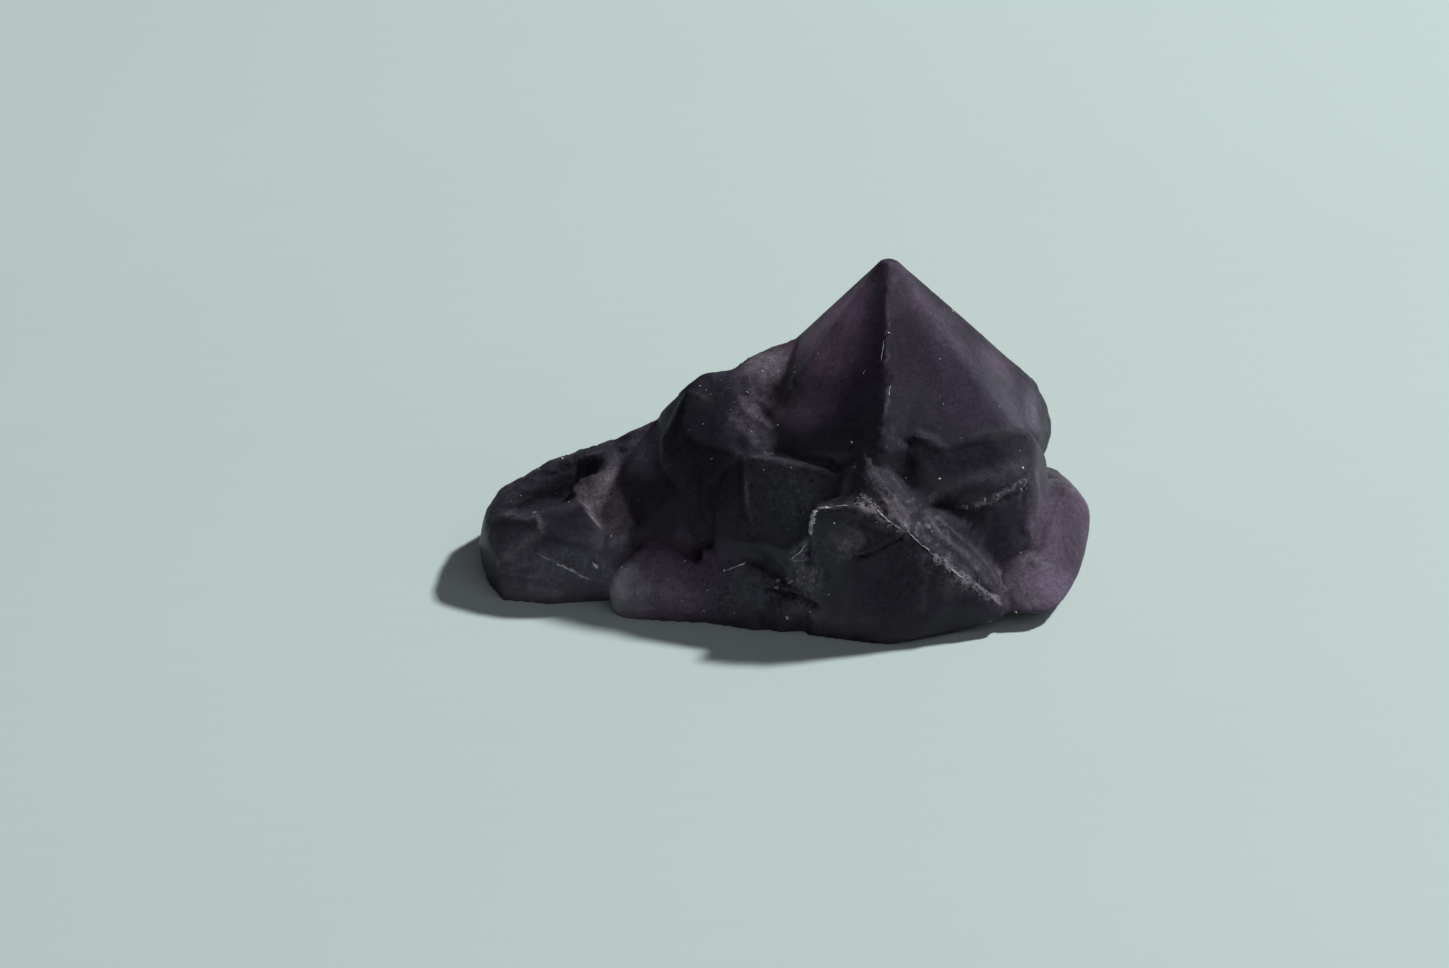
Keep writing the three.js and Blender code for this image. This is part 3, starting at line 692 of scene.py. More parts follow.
def line_share(places, lines):
    """How strongly any of the lines reaches each point: line, half width in millimetres and strength."""
    share = np.zeros(len(places))
    for line, width, strength in lines:
        share = np.maximum(share, strength * np.exp(-((line_distance(places, line) / width) ** 2)))
    return share


def laid_lines(places, lines):
    """The same lines, their points close together and moved to the nearest of the places."""
    laid = []
    for line, width, strength in lines:
        dense = []
        for start, end in zip(line, line[1:]):
            for share in np.linspace(0, 1, 4, endpoint=False):
                dense.append(Vector(start).lerp(Vector(end), share))
        dense.append(Vector(line[-1]))
        nearest = [np.argmin(((places / MM - np.array(point)) ** 2).sum(axis=1)) for point in dense]
        laid.append((places[nearest] / MM, width, strength))
    return laid


def crest_share(places):
    """How freshly broken each point is: on rubble, and along crests with frayed, uneven sides."""
    frayed = wandered(places, 0.3, 1.6, 5)
    uneven = 0.75 + 0.5 * noise_values(places, 0.9, 2, 14)
    return np.maximum(line_share(frayed, CRESTS) * uneven, painted(frayed, RUBBLE))


# Impact points that conchoidal ripples spread from: place, reach, depth of the ripples in millimetres
IMPACTS = (
    ((-16.8, 2.5, 8.5), 7.0, 0.045),
    ((-2.0, -9.2, 13.4), 6.0, 0.020),
    ((0.6, -1.0, 15.5), 6.5, 0.055),
    ((4.0, 13.0, 6.0), 6.0, 0.050),
    ((17.0, 11.0, 4.0), 5.0, 0.045),
    ((-12.0, 6.5, 5.0), 5.0, 0.045),
)
RIPPLE_MM = 0.85

# Faces that stand as one flat plate: outline, lift, how flat, width of its edge in millimetres
PLATES = (
    (
        (
            (-2.1, -7.1, 11.3), (3.4, -8.3, 10.7), (4.1, -9.7, 10.9), (3.7, -11.1, 10.1), (2.1, -11.1, 9.3),
            (1.8, -12.0, 7.6), (0.3, -12.0, 5.8), (-1.1, -11.4, 6.3), (-2.3, -10.5, 7.0), (-2.6, -8.8, 9.2),
            (-2.7, -7.4, 10.8),
        ),
        0.02, 0.85, 0.30,
    ),
    (
        (
            (-12.4, -1.4, 7.5), (-14.4, -1.0, 6.1), (-15.2, -1.8, 5.6),
            (-13.9, -5.6, 6.8), (-13.0, -6.5, 5.7),
            (-12.3, -7.2, 4.4), (-11.1, -6.9, 4.6), (-10.7, -5.8, 5.5),
            (-11.2, -4.2, 6.1), (-12.1, -2.2, 7.3),
        ),
        0.30, 0.80, 0.15,
    ),
    (
        (
            (5.6, -9.8, 12.1), (6.7, -9.7, 12.2), (7.8, -10.5, 10.7), (9.3, -11.3, 8.6), (8.8, -12.7, 8.1),
            (8.3, -13.2, 8.1), (7.5, -12.8, 8.9), (6.7, -12.0, 9.9), (5.6, -10.8, 11.4),
        ),
        0.22, 0.5, 0.12,
    ),
    (
        (
            (9.3, -11.4, 8.5), (10.2, -10.8, 8.1), (11.9, -11.3, 6.5), (13.3, -11.3, 5.2), (14.4, -12.0, 3.7),
            (15.3, -12.8, 2.3), (14.8, -13.8, 2.3), (13.7, -13.4, 3.4),
            (12.5, -12.7, 5.0), (11.1, -12.4, 6.3),
            (9.7, -12.3, 7.6),
        ),
        0.15, 0.4, 0.15,
    ),
    (
        (
            (2.0, -10.9, 9.0), (5.0, -12.1, 9.9), (6.3, -12.4, 9.5), (7.5, -12.9, 8.3), (8.0, -13.3, 7.4),
            (6.5, -13.4, 6.9), (4.6, -13.4, 6.4), (3.3, -13.0, 6.0), (2.5, -12.5, 7.0), (1.8, -12.1, 7.4),
        ),
        0.28, 0.1, 0.10,
    ),
    (
        ((0.3, -12.1, 5.8), (1.6, -11.9, 6.6), (1.4, -12.0, 6.1), (1.7, -12.5, 5.8), (0.9, -12.1, 5.4)),
        0.25, 0.2, 0.08,
    ),
    (
        (
            (-20.8, -3.5, 5.3), (-17.5, -5.1, 6.1), (-17.3, -6.2, 5.2),
            (-18.5, -6.3, 3.9), (-19.6, -6.1, 3.0),
            (-21.0, -5.2, 2.7), (-21.5, -3.7, 3.5),
        ),
        0.08, 0.4, 0.15,
    ),
)

# Open cracks, cut in and painted dark as shade: line, depth and half width in millimetres
CRACKS = (
    (((4.6, -13.4, 6.4), (5.4, -13.5, 6.5), (6.5, -13.4, 7.0), (7.9, -13.4, 7.7)), 0.30, 0.11),
    (((-1.3, -12.1, 3.1), (0.1, -12.5, 3.0), (1.1, -12.8, 2.5), (1.8, -13.3, 2.3)), 0.50, 0.20),
    (((8.8, -9.0, 12.8), (8.8, -9.1, 12.0), (9.0, -9.3, 11.2)), 0.32, 0.30),
    (((7.2, -8.5, 14.1), (7.6, -8.9, 13.5), (8.1, -9.0, 13.1)), 0.16, 0.22),
    (((-2.9, -6.9, 11.2), (-3.0, -8.2, 9.6), (-3.0, -9.6, 8.0)), 0.10, 0.16),
    (((1.4, -3.2, 14.8), (1.3, -4.5, 13.6)), 0.25, 0.18),
    (((9.3, -12.9, 7.0), (10.8, -12.9, 5.7), (12.4, -13.2, 4.4), (13.9, -13.6, 3.0)), 0.25, 0.18),
    (((16.9, -9.4, 8.4), (16.7, -10.0, 5.7), (16.5, -11.9, 3.2)), 0.12, 0.18),
)

# Painted shade: a crack this deep or deeper is painted fully dark.
OPEN_MM = 0.3  # how deep a crack is when it looks quite dark

# Where the stone is clear enough to see into: centre, half sizes and strength
CLEAR_GROUND = (
    ((20.5, -5.3, 3.2), (2.4, 6.0, 4.0), 0.35),
    ((-22.0, -1.0, 2.5), (1.8, 4.0, 3.0), 0.5),
    ((-11.5, -9.6, 1.8), (2.2, 1.6, 2.2), 0.5),
)

# Where wear or growth has left the stone round: centre, half sizes and strength
SOFT_GROUND = (
    ((14.5, -8.4, 9.8), (3.6, 2.4, 2.4), 1.0),
    ((19.9, -6.5, 3.3), (2.8, 6.5, 4.0), 1.0),
    ((17.6, 1.0, 10.0), (3.4, 4.0, 3.4), 1.0),
    ((-7.4, -2.8, 11.7), (1.6, 3.4, 2.0), 0.9),
    ((-9.0, -9.6, 2.6), (4.4, 2.2, 2.6), 0.8),
    ((-17.6, -3.0, 5.6), (4.6, 4.4, 2.6), 0.45),
    ((-1.0, -3.0, 13.2), (4.0, 4.0, 1.6), 0.6),
)
CREST_RUBBLE_MM = 0.26
EDGE_ROUNDING_MM = 0.7
EDGE_ROUNDS = 10
SOFT_ROUNDS = 45


def point_edges():
    """Directions in which the main point's six edges fall away from its apex, the front edge first."""
    faces = face_normals_of_point()
    falls = []
    for index in range(6):
        fall = np.cross(faces[index - 1], faces[index])
        falls.append(fall / np.linalg.norm(fall) * (-1 if fall[2] > 0 else 1))
    return falls


def worn_share(places):
    """1 close to the main point's edges, the front one left out."""
    apex = stacked(APEX)
    share = np.zeros(len(places))
    for fall in point_edges()[1:]:
        along = np.clip((places - apex) @ fall, 0, 14 * MM)
        off = np.linalg.norm(places - apex - along[:, None] * fall, axis=1)
        share = np.maximum(share, np.exp(-((off / (EDGE_ROUNDING_MM * MM)) ** 2)))
    return share * eased(np.linalg.norm(places - apex, axis=1), 0.6 * MM, 2.0 * MM)


def chip_tilt(places, size_mm, seed):
    """Height of small flat faces, each tilted its own way, about -1 to 1."""
    factor = 1 / (size_mm * MM)
    shift = Vector((seed, -seed, 2.5 * seed))
    heights = np.empty(len(places))
    for index, place in enumerate(places):
        here = Vector(place) * factor + shift
        nearest = noise.voronoi(here)[1][0]
        heights[index] = (here - nearest).dot(noise.cell_vector(nearest * 3.7) * 2 - Vector((1, 1, 1)))
    return heights


def broken_relief(places, broken):
    """How far each point stands out or in, in metres: small faces, ripples and crumbling."""
    swell = noise_values(places, 0.32, 3, 1)
    crumble = noise_values(places, 1.15, 4, 2)
    relief = 0.08 * swell + 0.05 * crumble
    relief = relief + 0.16 * chip_tilt(places, 1.5, 5.0) + 0.06 * chip_tilt(places, 0.7, 9.0)
    warp = noise_values(places, 0.5, 2, 4) * 0.5
    for centre, reach, depth in IMPACTS:
        away = np.linalg.norm(places / MM - np.array(centre), axis=1)
        fade = 1 - eased(away, reach * 0.5, reach)
        relief = relief + depth * fade * np.sin(2 * math.pi * (away + warp) / RIPPLE_MM)
    return relief * broken * MM


# Colours painted on the stone, by kind: its own tones (violet, slate, pearl), painted light (mauve, rose,
# lilac), its milky haze with painted light (lavender) and painted shade (dusk): centre, half sizes in
# millimetres and strength
GLOWS = {
    "violet": (
        ((6.0, -3.8, 17.5), (2.2, 2.4, 3.0), 1.0),
        ((5.0, -5.2, 15.3), (2.4, 2.0, 2.2), 0.5),
        ((2.8, -5.3, 13.8), (2.2, 1.6, 1.4), 0.6),
        ((-6.5, -9.8, 2.6), (4.2, 2.0, 3.0), 0.8),
        ((11.4, -4.4, 16.9), (3.0, 3.0, 3.4), 0.4),
        ((12.4, -6.2, 14.1), (4.0, 3.0, 4.0), 0.35),
        ((9.0, 8.0, 15.0), (6.0, 5.0, 6.0), 0.6),
        ((-8.0, 9.0, 6.0), (6.0, 4.0, 4.0), 0.6),
    ),
    # Painted light: mauve glow where light seems to come through thin parts.
    "painted_mauve_light": (
        ((4.9, -2.0, 18.7), (2.0, 2.4, 2.6), 0.95),
        ((5.6, -0.5, 19.8), (1.6, 2.4, 2.6), 0.75),
        ((8.5, -0.6, 21.9), (1.8, 1.8, 1.6), 0.5),
        ((3.0, -1.7, 17.0), (1.9, 3.4, 3.0), 0.95),
        ((13.8, -0.6, 16.7), (2.8, 2.4, 3.6), 0.2),
        ((4.6, 0.8, 18.2), (2.6, 2.0, 3.4), 0.8),
        ((-1.4, -3.6, 12.8), (1.8, 1.8, 0.8), 0.5),
        ((2.0, -5.0, 13.8), (1.8, 1.2, 1.0), 0.85),
        ((10.3, -2.1, 19.9), (1.3, 1.5, 1.4), 0.45),
        ((11.8, -2.4, 18.5), (1.3, 1.6, 1.4), 0.3),
        ((12.8, -3.0, 16.8), (1.3, 1.8, 1.5), 0.25),
        ((16.9, 1.4, 12.2), (1.2, 1.8, 1.4), 0.3),
        ((22.0, -4.7, 3.2), (1.6, 4.4, 3.0), 0.7),
        ((12.0, 5.5, 17.0), (3.0, 2.4, 3.0), 0.45),
        ((4.0, 7.0, 15.0), (2.4, 2.4, 3.0), 0.5),
        ((15.0, 12.0, 4.0), (4.0, 3.0, 3.0), 0.6),
        ((-18.0, 7.0, 3.0), (4.0, 3.0, 3.0), 0.6),
        ((2.0, 13.5, 4.0), (4.0, 2.4, 3.0), 0.4),
        ((18.5, -9.0, 4.2), (3.0, 3.8, 4.0), 0.6),
        ((18.2, -12.5, 2.2), (2.4, 2.0, 2.0), 0.95),
        ((20.9, -3.8, 4.9), (2.0, 2.8, 1.6), 0.5),
        ((-10.6, -9.8, 1.8), (2.4, 2.0, 2.8), 0.95),
        ((-7.6, -10.3, 1.6), (3.4, 1.4, 2.2), 0.75),
        ((-7.6, -9.0, 3.8), (3.4, 1.4, 1.6), 0.6),
        ((-8.2, -8.0, 4.4), (2.4, 1.4, 1.2), 0.4),
        ((1.2, -5.2, 13.6), (2.2, 1.2, 1.2), 0.5),
    ),
    # Partly the stone's own milky haze, partly painted light on faces away from the lamps.
    "lavender_haze_and_painted_light": (
        ((18.6, 0.0, 9.1), (1.6, 2.2, 1.4), 0.5),
        ((15.6, -3.6, 11.6), (2.6, 2.4, 2.2), 0.3),
        ((14.3, -9.1, 9.7), (2.6, 1.0, 0.7), 0.45),
        ((-10.3, -0.4, 8.6), (1.8, 2.6, 1.6), 0.5),
        ((-9.2, -1.8, 8.8), (1.2, 2.6, 1.4), 0.4),
        ((-12.6, -9.0, 2.4), (1.5, 1.8, 3.0), 1.0),
        ((-10.2, -9.8, 2.8), (1.8, 1.6, 2.0), 0.5),
        ((-3.4, -11.6, 2.6), (4.0, 1.6, 2.6), 0.14),
        ((0.6, -13.0, 2.6), (2.4, 1.4, 2.6), 0.1),
        ((19.0, -12.3, 2.1), (2.0, 2.0, 1.6), 0.3),
        ((16.4, -9.6, 5.0), (1.6, 1.4, 3.0), 0.25),
        ((-19.4, -5.6, 4.1), (1.0, 0.8, 1.5), 0.3),
        ((-18.0, -7.0, 1.0), (4.0, 1.6, 1.6), 0.12),
        ((-17.4, -6.8, 2.8), (5.0, 1.8, 3.4), 0.34),
        ((-6.0, 11.5, 5.0), (3.4, 3.0, 2.4), 0.5),
        ((20.0, 6.0, 4.0), (3.0, 3.0, 2.4), 0.5),
    ),
    # Painted light: pink light in thin edges away from the lamp.
    "painted_rose_light": (
        ((5.4, -0.4, 19.4), (1.4, 1.6, 2.2), 0.7),
        ((4.2, 0.6, 18.0), (1.8, 1.6, 2.2), 0.8),
        ((2.6, 1.2, 16.0), (1.8, 2.2, 2.0), 0.7),
        ((3.3, -2.9, 16.7), (1.4, 1.4, 2.0), 0.30),
        ((5.5, -1.9, 19.3), (1.0, 1.2, 1.6), 0.16),
        ((16.0, 0.2, 13.5), (1.4, 1.6, 1.6), 0.15),
    ),
    # Painted light: milky light on faces away from the lamp.
    "lilac": (
        ((-12.5, -9.2, 2.3), (1.3, 1.4, 2.8), 1.0),
        ((-10.0, -1.0, 8.5), (1.4, 2.0, 1.2), 0.22),
        ((-12.6, -3.9, 7.0), (1.0, 2.2, 1.6), 0.30),
        ((-11.9, -5.8, 6.1), (0.9, 1.4, 1.2), 0.5),
        ((-17.8, -7.2, 0.8), (3.4, 1.2, 1.2), 0.12),
        ((2.0, -13.5, 1.8), (2.4, 1.0, 1.4), 0.10),
        ((-9.2, -10.2, 2.2), (2.4, 1.2, 1.8), 0.08),
        ((18.8, 0.6, 9.0), (1.0, 1.8, 1.4), 0.12),
    ),
    "pearl": (
        ((-0.9, -3.4, 12.9), (1.6, 2.0, 1.0), 0.15),
        ((3.9, -12.8, 7.7), (1.2, 0.8, 0.9), 0.6),
        ((-17.8, -7.2, 1.4), (3.6, 1.2, 2.0), 0.4),
        ((1.6, -13.4, 1.8), (2.6, 1.0, 1.4), 0.2),
        ((-0.4, 1.3, 14.0), (1.6, 1.6, 1.0), 0.7),
        ((7.8, -12.4, 9.0), (1.2, 1.1, 1.0), 0.4),
        ((6.2, -12.2, 9.6), (1.3, 0.6, 0.6), 0.9),
        ((14.6, -9.9, 8.2), (2.2, 0.5, 0.4), 0.5),
        ((12.0, -13.8, 4.7), (1.6, 0.6, 1.4), 0.5),
    ),
    "slate": (
        ((10.4, -5.8, 14.9), (3.6, 3.4, 3.6), 0.2),
        ((0.8, -9.8, 8.8), (3.0, 3.4, 3.4), 0.95),
        ((-3.6, -11.4, 2.8), (3.4, 1.6, 2.4), 0.85),
        ((0.8, -12.8, 3.4), (2.4, 1.4, 2.6), 0.7),
        ((-19.0, -5.6, 3.8), (2.4, 1.4, 2.2), 0.6),
        ((-15.6, -7.2, 3.6), (2.6, 1.2, 1.6), 0.5),
        ((3.6, -12.9, 7.2), (1.6, 1.0, 1.6), 0.7),
        ((-12.0, 7.0, 6.0), (4.0, 4.0, 3.0), 0.6),
        ((8.0, 12.0, 8.0), (4.0, 3.0, 3.0), 0.5),
    ),
    # Painted shade: darker hollows, rims along the outline and lit faces.
    "painted_shade": (
        ((-4.8, -6.2, 10.2), (3.0, 2.4, 3.8), 0.9),
        ((-5.0, -3.2, 13.0), (1.9, 3.0, 1.6), 0.95),
        ((-3.6, -1.8, 13.3), (1.5, 2.0, 1.0), 0.7),
        ((-7.4, -3.5, 11.1), (1.6, 2.6, 2.6), 0.65),
        ((6.0, -7.8, 13.0), (2.4, 1.4, 1.6), 0.45),
        ((9.0, -9.4, 11.2), (0.5, 0.8, 1.4), 0.8),
        ((15.0, -8.2, 11.8), (4.0, 1.6, 1.2), 0.85),
        ((10.4, -9.0, 12.8), (1.6, 0.9, 1.4), 0.5),
        ((-16.6, -0.9, 5.1), (3.4, 1.6, 1.4), 0.95),
        ((-14.2, -0.6, 6.4), (1.8, 2.0, 1.6), 0.85),
        ((-21.6, -1.4, 4.6), (1.4, 2.4, 1.8), 0.5),
        ((14.2, -10.8, 5.6), (1.8, 1.2, 2.4), 0.45),
        ((18.4, 1.6, 12.0), (1.2, 3.0, 2.0), 0.6),
        ((14.6, 1.0, 16.2), (1.6, 1.8, 3.0), 0.6),
        ((13.6, -1.4, 16.6), (1.5, 1.6, 1.6), 0.6),
        ((9.4, -3.6, 18.4), (1.4, 1.6, 2.0), 0.25),
        ((17.7, -9.0, 6.2), (1.0, 1.4, 2.6), 0.55),
        ((11.0, -10.3, 7.9), (1.2, 0.8, 0.8), 0.85),
        ((11.8, -11.6, 6.2), (1.5, 0.8, 1.3), 0.45),
        ((20.7, -5.4, 5.6), (1.0, 1.6, 0.8), 0.3),
        ((7.0, -11.4, 10.4), (1.2, 1.0, 1.2), 0.35),
        ((11.6, 1.0, 19.4), (1.6, 1.6, 2.4), 0.6),
        ((8.5, -0.2, 22.6), (1.4, 1.4, 1.0), 0.4),
        ((10.4, -5.4, 16.2), (2.6, 2.4, 4.0), 0.30),
        ((9.8, -8.0, 13.6), (1.6, 1.2, 1.4), 0.4),
        ((-5.3, -2.0, 13.2), (2.2, 3.0, 1.6), 0.95),
        ((-0.6, -12.6, 2.8), (1.6, 0.8, 0.8), 0.6),
        ((8.0, -14.5, 4.8), (4.6, 1.6, 3.0), 0.35),
    ),
}
GLOW_WARP_MM = 0.9
GLOWING_PLATES = {
    "pearl": ((PLATES[1][0], 0.62), (PLATES[2][0], 0.06)),
    "lavender_haze_and_painted_light": ((PLATES[3][0], 0.12), (PLATES[5][0], 0.6)),
}

# Where the surface is crumbled or splintered rather than smooth: centre, half sizes and strength
SPLINTERED = (
    ((7.0, -12.0, 9.6), (2.4, 1.8, 2.0), 0.9),
    ((11.5, -13.5, 5.0), (3.6, 1.0, 3.6), 1.0),
    ((10.6, -11.8, 7.0), (1.6, 1.6, 2.2), 0.7),
    ((14.4, -9.9, 8.1), (2.8, 0.6, 0.6), 0.6),
    ((1.6, -12.4, 4.8), (1.4, 1.2, 2.4), 1.0),
    ((-0.8, -12.2, 3.0), (3.4, 1.4, 2.4), 0.6),
    ((-1.2, -2.8, 13.2), (3.0, 4.0, 1.6), 0.8),
    ((-12.4, -3.4, 6.6), (2.2, 3.8, 2.2), 0.5),
    ((-16.0, 2.0, 7.0), (6.0, 5.0, 4.0), 0.5),
    ((0.0, 14.0, 6.0), (26.0, 9.0, 12.0), 0.9),
    ((-20.0, 6.0, 3.0), (8.0, 6.0, 6.0), 0.6),
    ((20.0, 8.0, 3.0), (8.0, 8.0, 8.0), 0.6),
)
SMOOTH_GROUND = 0.16


def painted(places, patches):
    """How strongly any of the soft patches reaches each point."""
    left = np.ones(len(places))
    for centre, half_sizes, strength in patches:
        away = ((places / MM - np.array(centre)) / np.array(half_sizes)) ** 2
        left = left * (1 - strength * np.exp(-away.sum(axis=1)))
    return 1 - left


def wandered(places, reach, scale, seed):
    """Places moved about by soft noise, so that a patch has no regular outline."""
    factor = scale / MM
    drift = np.empty(places.shape)
    for axis in range(3):
        shift = Vector((seed + 17.3 * axis, 5.1 * axis, -9.7 * axis))
        drift[:, axis] = [noise.noise(Vector(place) * factor + shift) for place in places]
    return places + drift * reach * MM


def store_values(mesh, name, values):
    """Numbers on the mesh's points, for its material to read."""
    layer = mesh.attributes.new(name, "FLOAT", "POINT")
    layer.data.foreach_set("value", np.ascontiguousarray(values, dtype=np.float32))


def kept_in_box(places):
    """Points held inside the solid's own box."""
    low, high = (np.array(corner) for corner in CAD_BOX)
    return np.clip(places, low, high)


def shaped_quartz(mesh):
    """Moves the mesh's points into plates, cracks, worn edges and broken ground.

    Returns how broken each point is, and how deep in a crack, which is painted as shade.
    """
    places, normals = mesh_arrays(mesh)
    edges = np.empty(len(mesh.edges) * 2, dtype=np.int32)
    mesh.edges.foreach_get("vertices", edges)
    edges = edges.reshape(-1, 2)
    grown = grown_share(places, normals)
    standing = eased(places[:, 2], 0.02 * MM, 0.6 * MM)
    splintered = painted(wandered(places, 0.5, 0.6, 9), SPLINTERED)
    broken = (1 - grown) * standing * (SMOOTH_GROUND + (1 - SMOOTH_GROUND) * splintered)
    moved = softened(places, edges, worn_share(places), EDGE_ROUNDS)
    moved = softened(moved, edges, painted(places, SOFT_GROUND) * standing, SOFT_ROUNDS)
    for outline, lift, flatness, edge_width in PLATES:
        share, off, facing = plate_share(moved, normals, outline, edge_width)
        moved = moved + (share * standing * (lift * MM - flatness * off))[:, None] * facing
    moved = moved + normals * broken_relief(places, broken)[:, None]
    crests = crest_share(places) * standing
    rubble = chip_tilt(places, 0.6, 3.0) * CREST_RUBBLE_MM + 0.15 * CREST_RUBBLE_MM
    moved = moved + normals * (crests * rubble * MM)[:, None]
    crack_shade = np.zeros(len(places))
    for line, depth, width in CRACKS:
        cut = np.exp(-((line_distance(places, line) / width) ** 2))
        moved = moved - normals * (cut * depth * MM)[:, None]
        crack_shade = np.maximum(crack_shade, cut * min(1, depth / OPEN_MM))
    moved[:, 2] = np.where(places[:, 2] < 0.03 * MM, 0.0, moved[:, 2])
    mesh.vertices.foreach_set("co", kept_in_box(moved).ravel())
    return broken, crack_shade


def build_quartz(look):
    """The cluster's visible surface, over the whole solid."""
    mesh = evened_copy(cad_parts[NODE], look.fineness, look.wear)
    places, normals = mesh_arrays(mesh)
    wide = wandered(places, GLOW_WARP_MM, 0.45, 3)
    broken, crack_shade = shaped_quartz(mesh)
    store_values(mesh, "broken", broken)
    store_values(mesh, "crack", crack_shade)
    finished = mesh_arrays(mesh)[0]
    store_values(mesh, "fresh", crest_share(finished))
    frayed = wandered(finished, 0.12, 1.8, 8)
    store_values(mesh, "pale", line_share(frayed, laid_lines(finished, LIGHT_SEAMS_AND_PAINTED_HIGHLIGHTS)))
    store_values(mesh, "shade", line_share(frayed, laid_lines(finished, SHADES)))
    store_values(mesh, "clear", painted(wide, CLEAR_GROUND))
    # Each kind is stored as numbers on the points: the stone's own tones, painted light and painted shade.
    for kind, patches in GLOWS.items():
        value = painted(wide, patches)
        for outline, strength in GLOWING_PLATES.get(kind, ()):
            value = np.maximum(value, strength * plate_share(places, normals, outline, 0.15)[0])
        store_values(mesh, kind, value)
    mesh.polygons.foreach_set("use_smooth", [True] * len(mesh.polygons))
    mesh.update()
    mesh.materials.clear()
    mesh.materials.append(quartz_material(look))
    return link_mesh("amethyst_quartz", mesh)


def hand_over(piece):
    """Tells the frame what the piece rides on."""
    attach(piece, "root")


# Small things on the surface, by Geometry Nodes


def geometry_tree(name, inputs):
    """An empty Geometry Nodes tree with these named inputs: (name, kind, default)."""
    tree = bpy.data.node_groups.new(name, "GeometryNodeTree")
    tree.interface.new_socket("Geometry", in_out="INPUT", socket_type="NodeSocketGeometry")
    for label, kind, default in inputs:
        made = tree.interface.new_socket(label, in_out="INPUT", socket_type=kind)
        if default is not None:
            made.default_value = default
    tree.interface.new_socket("Geometry", in_out="OUTPUT", socket_type="NodeSocketGeometry")
    return tree, add_node(tree, "NodeGroupInput"), add_node(tree, "NodeGroupOutput")


def random_value(tree, kind, low, high, seed):
    """A Random Value node, as numbers or vectors."""
    made = add_node(tree, "FunctionNodeRandomValue", {"data_type": kind}).node
    low_place, high_place, out_place = {"FLOAT": (2, 3, 1), "FLOAT_VECTOR": (0, 1, 0)}[kind]
    plug(tree, made.inputs[low_place], low)
    plug(tree, made.inputs[high_place], high)
    plug(tree, made.inputs["Seed"], seed)
    return Sock(tree, made.outputs[out_place])


def finished_tree(tree, given, result, geometry):
    """Ends a tree: instances made real, the material set."""
    real = add_node(tree, "GeometryNodeRealizeInstances", {}, {"Geometry": geometry})
    clad = add_node(
        tree, "GeometryNodeSetMaterial", {},
        {"Geometry": real.out(), "Material": given.out("Material")},
    )
    plug(tree, result.node.inputs[0], clad.out())
    return tree


def chips_on(tree, given, points):
    """Irregular flat-sided chips on points, turned every way."""
    chip = add_node(tree, "GeometryNodeMeshIcoSphere", {}, {"Radius": 1.0, "Subdivisions": 1})
    turn = random_value(tree, "FLOAT_VECTOR", (0, 0, 0), (6.28, 6.28, 6.28), given.out("Seed") + 3)
    toss = random_value(tree, "FLOAT", 0.0, 1.0, given.out("Seed") + 5)
    size = (toss ** 3.0) * (given.out("Largest") - given.out("Smallest")) + given.out("Smallest")
    stretch = random_value(tree, "FLOAT_VECTOR", (0.6, 0.4, 0.3), (1.6, 1.0, 0.7), given.out("Seed") + 9)
    return add_node(
        tree, "GeometryNodeInstanceOnPoints", {},
        {"Points": points, "Instance": chip.out(0), "Rotation": turn, "Scale": stretch * size},
    ).out()


CHIP_INPUTS = (
    ("Density", "NodeSocketFloat", 2.0e7),
    ("Smallest", "NodeSocketFloat", 0.03 * MM),
    ("Largest", "NodeSocketFloat", 0.2 * MM),
    ("Seed", "NodeSocketInt", 1),
    ("Material", "NodeSocketMaterial", None),
)


def scatter_tree():
    """Chips scattered over a surface, as thickly as its own "chips" value says."""
    tree, given, result = geometry_tree("chips over a surface", CHIP_INPUTS)
    share = add_node(tree, "GeometryNodeInputNamedAttribute", {"data_type": "FLOAT"}, {"Name": "chips"})
    points = add_node(
        tree, "GeometryNodeDistributePointsOnFaces", {"distribute_method": "RANDOM"},
        {
            "Mesh": given.out("Geometry"), "Density": share.out(0) * given.out("Density"),
            "Seed": given.out("Seed"),
        },
    )
    return finished_tree(tree, given, result, chips_on(tree, given, points.out()))


def speck_tree():
    """One chip on every point."""
    tree, given, result = geometry_tree("single grains", CHIP_INPUTS)
    points = add_node(tree, "GeometryNodeMeshToPoints", {}, {"Mesh": given.out("Geometry")})
    return finished_tree(tree, given, result, chips_on(tree, given, points.out()))


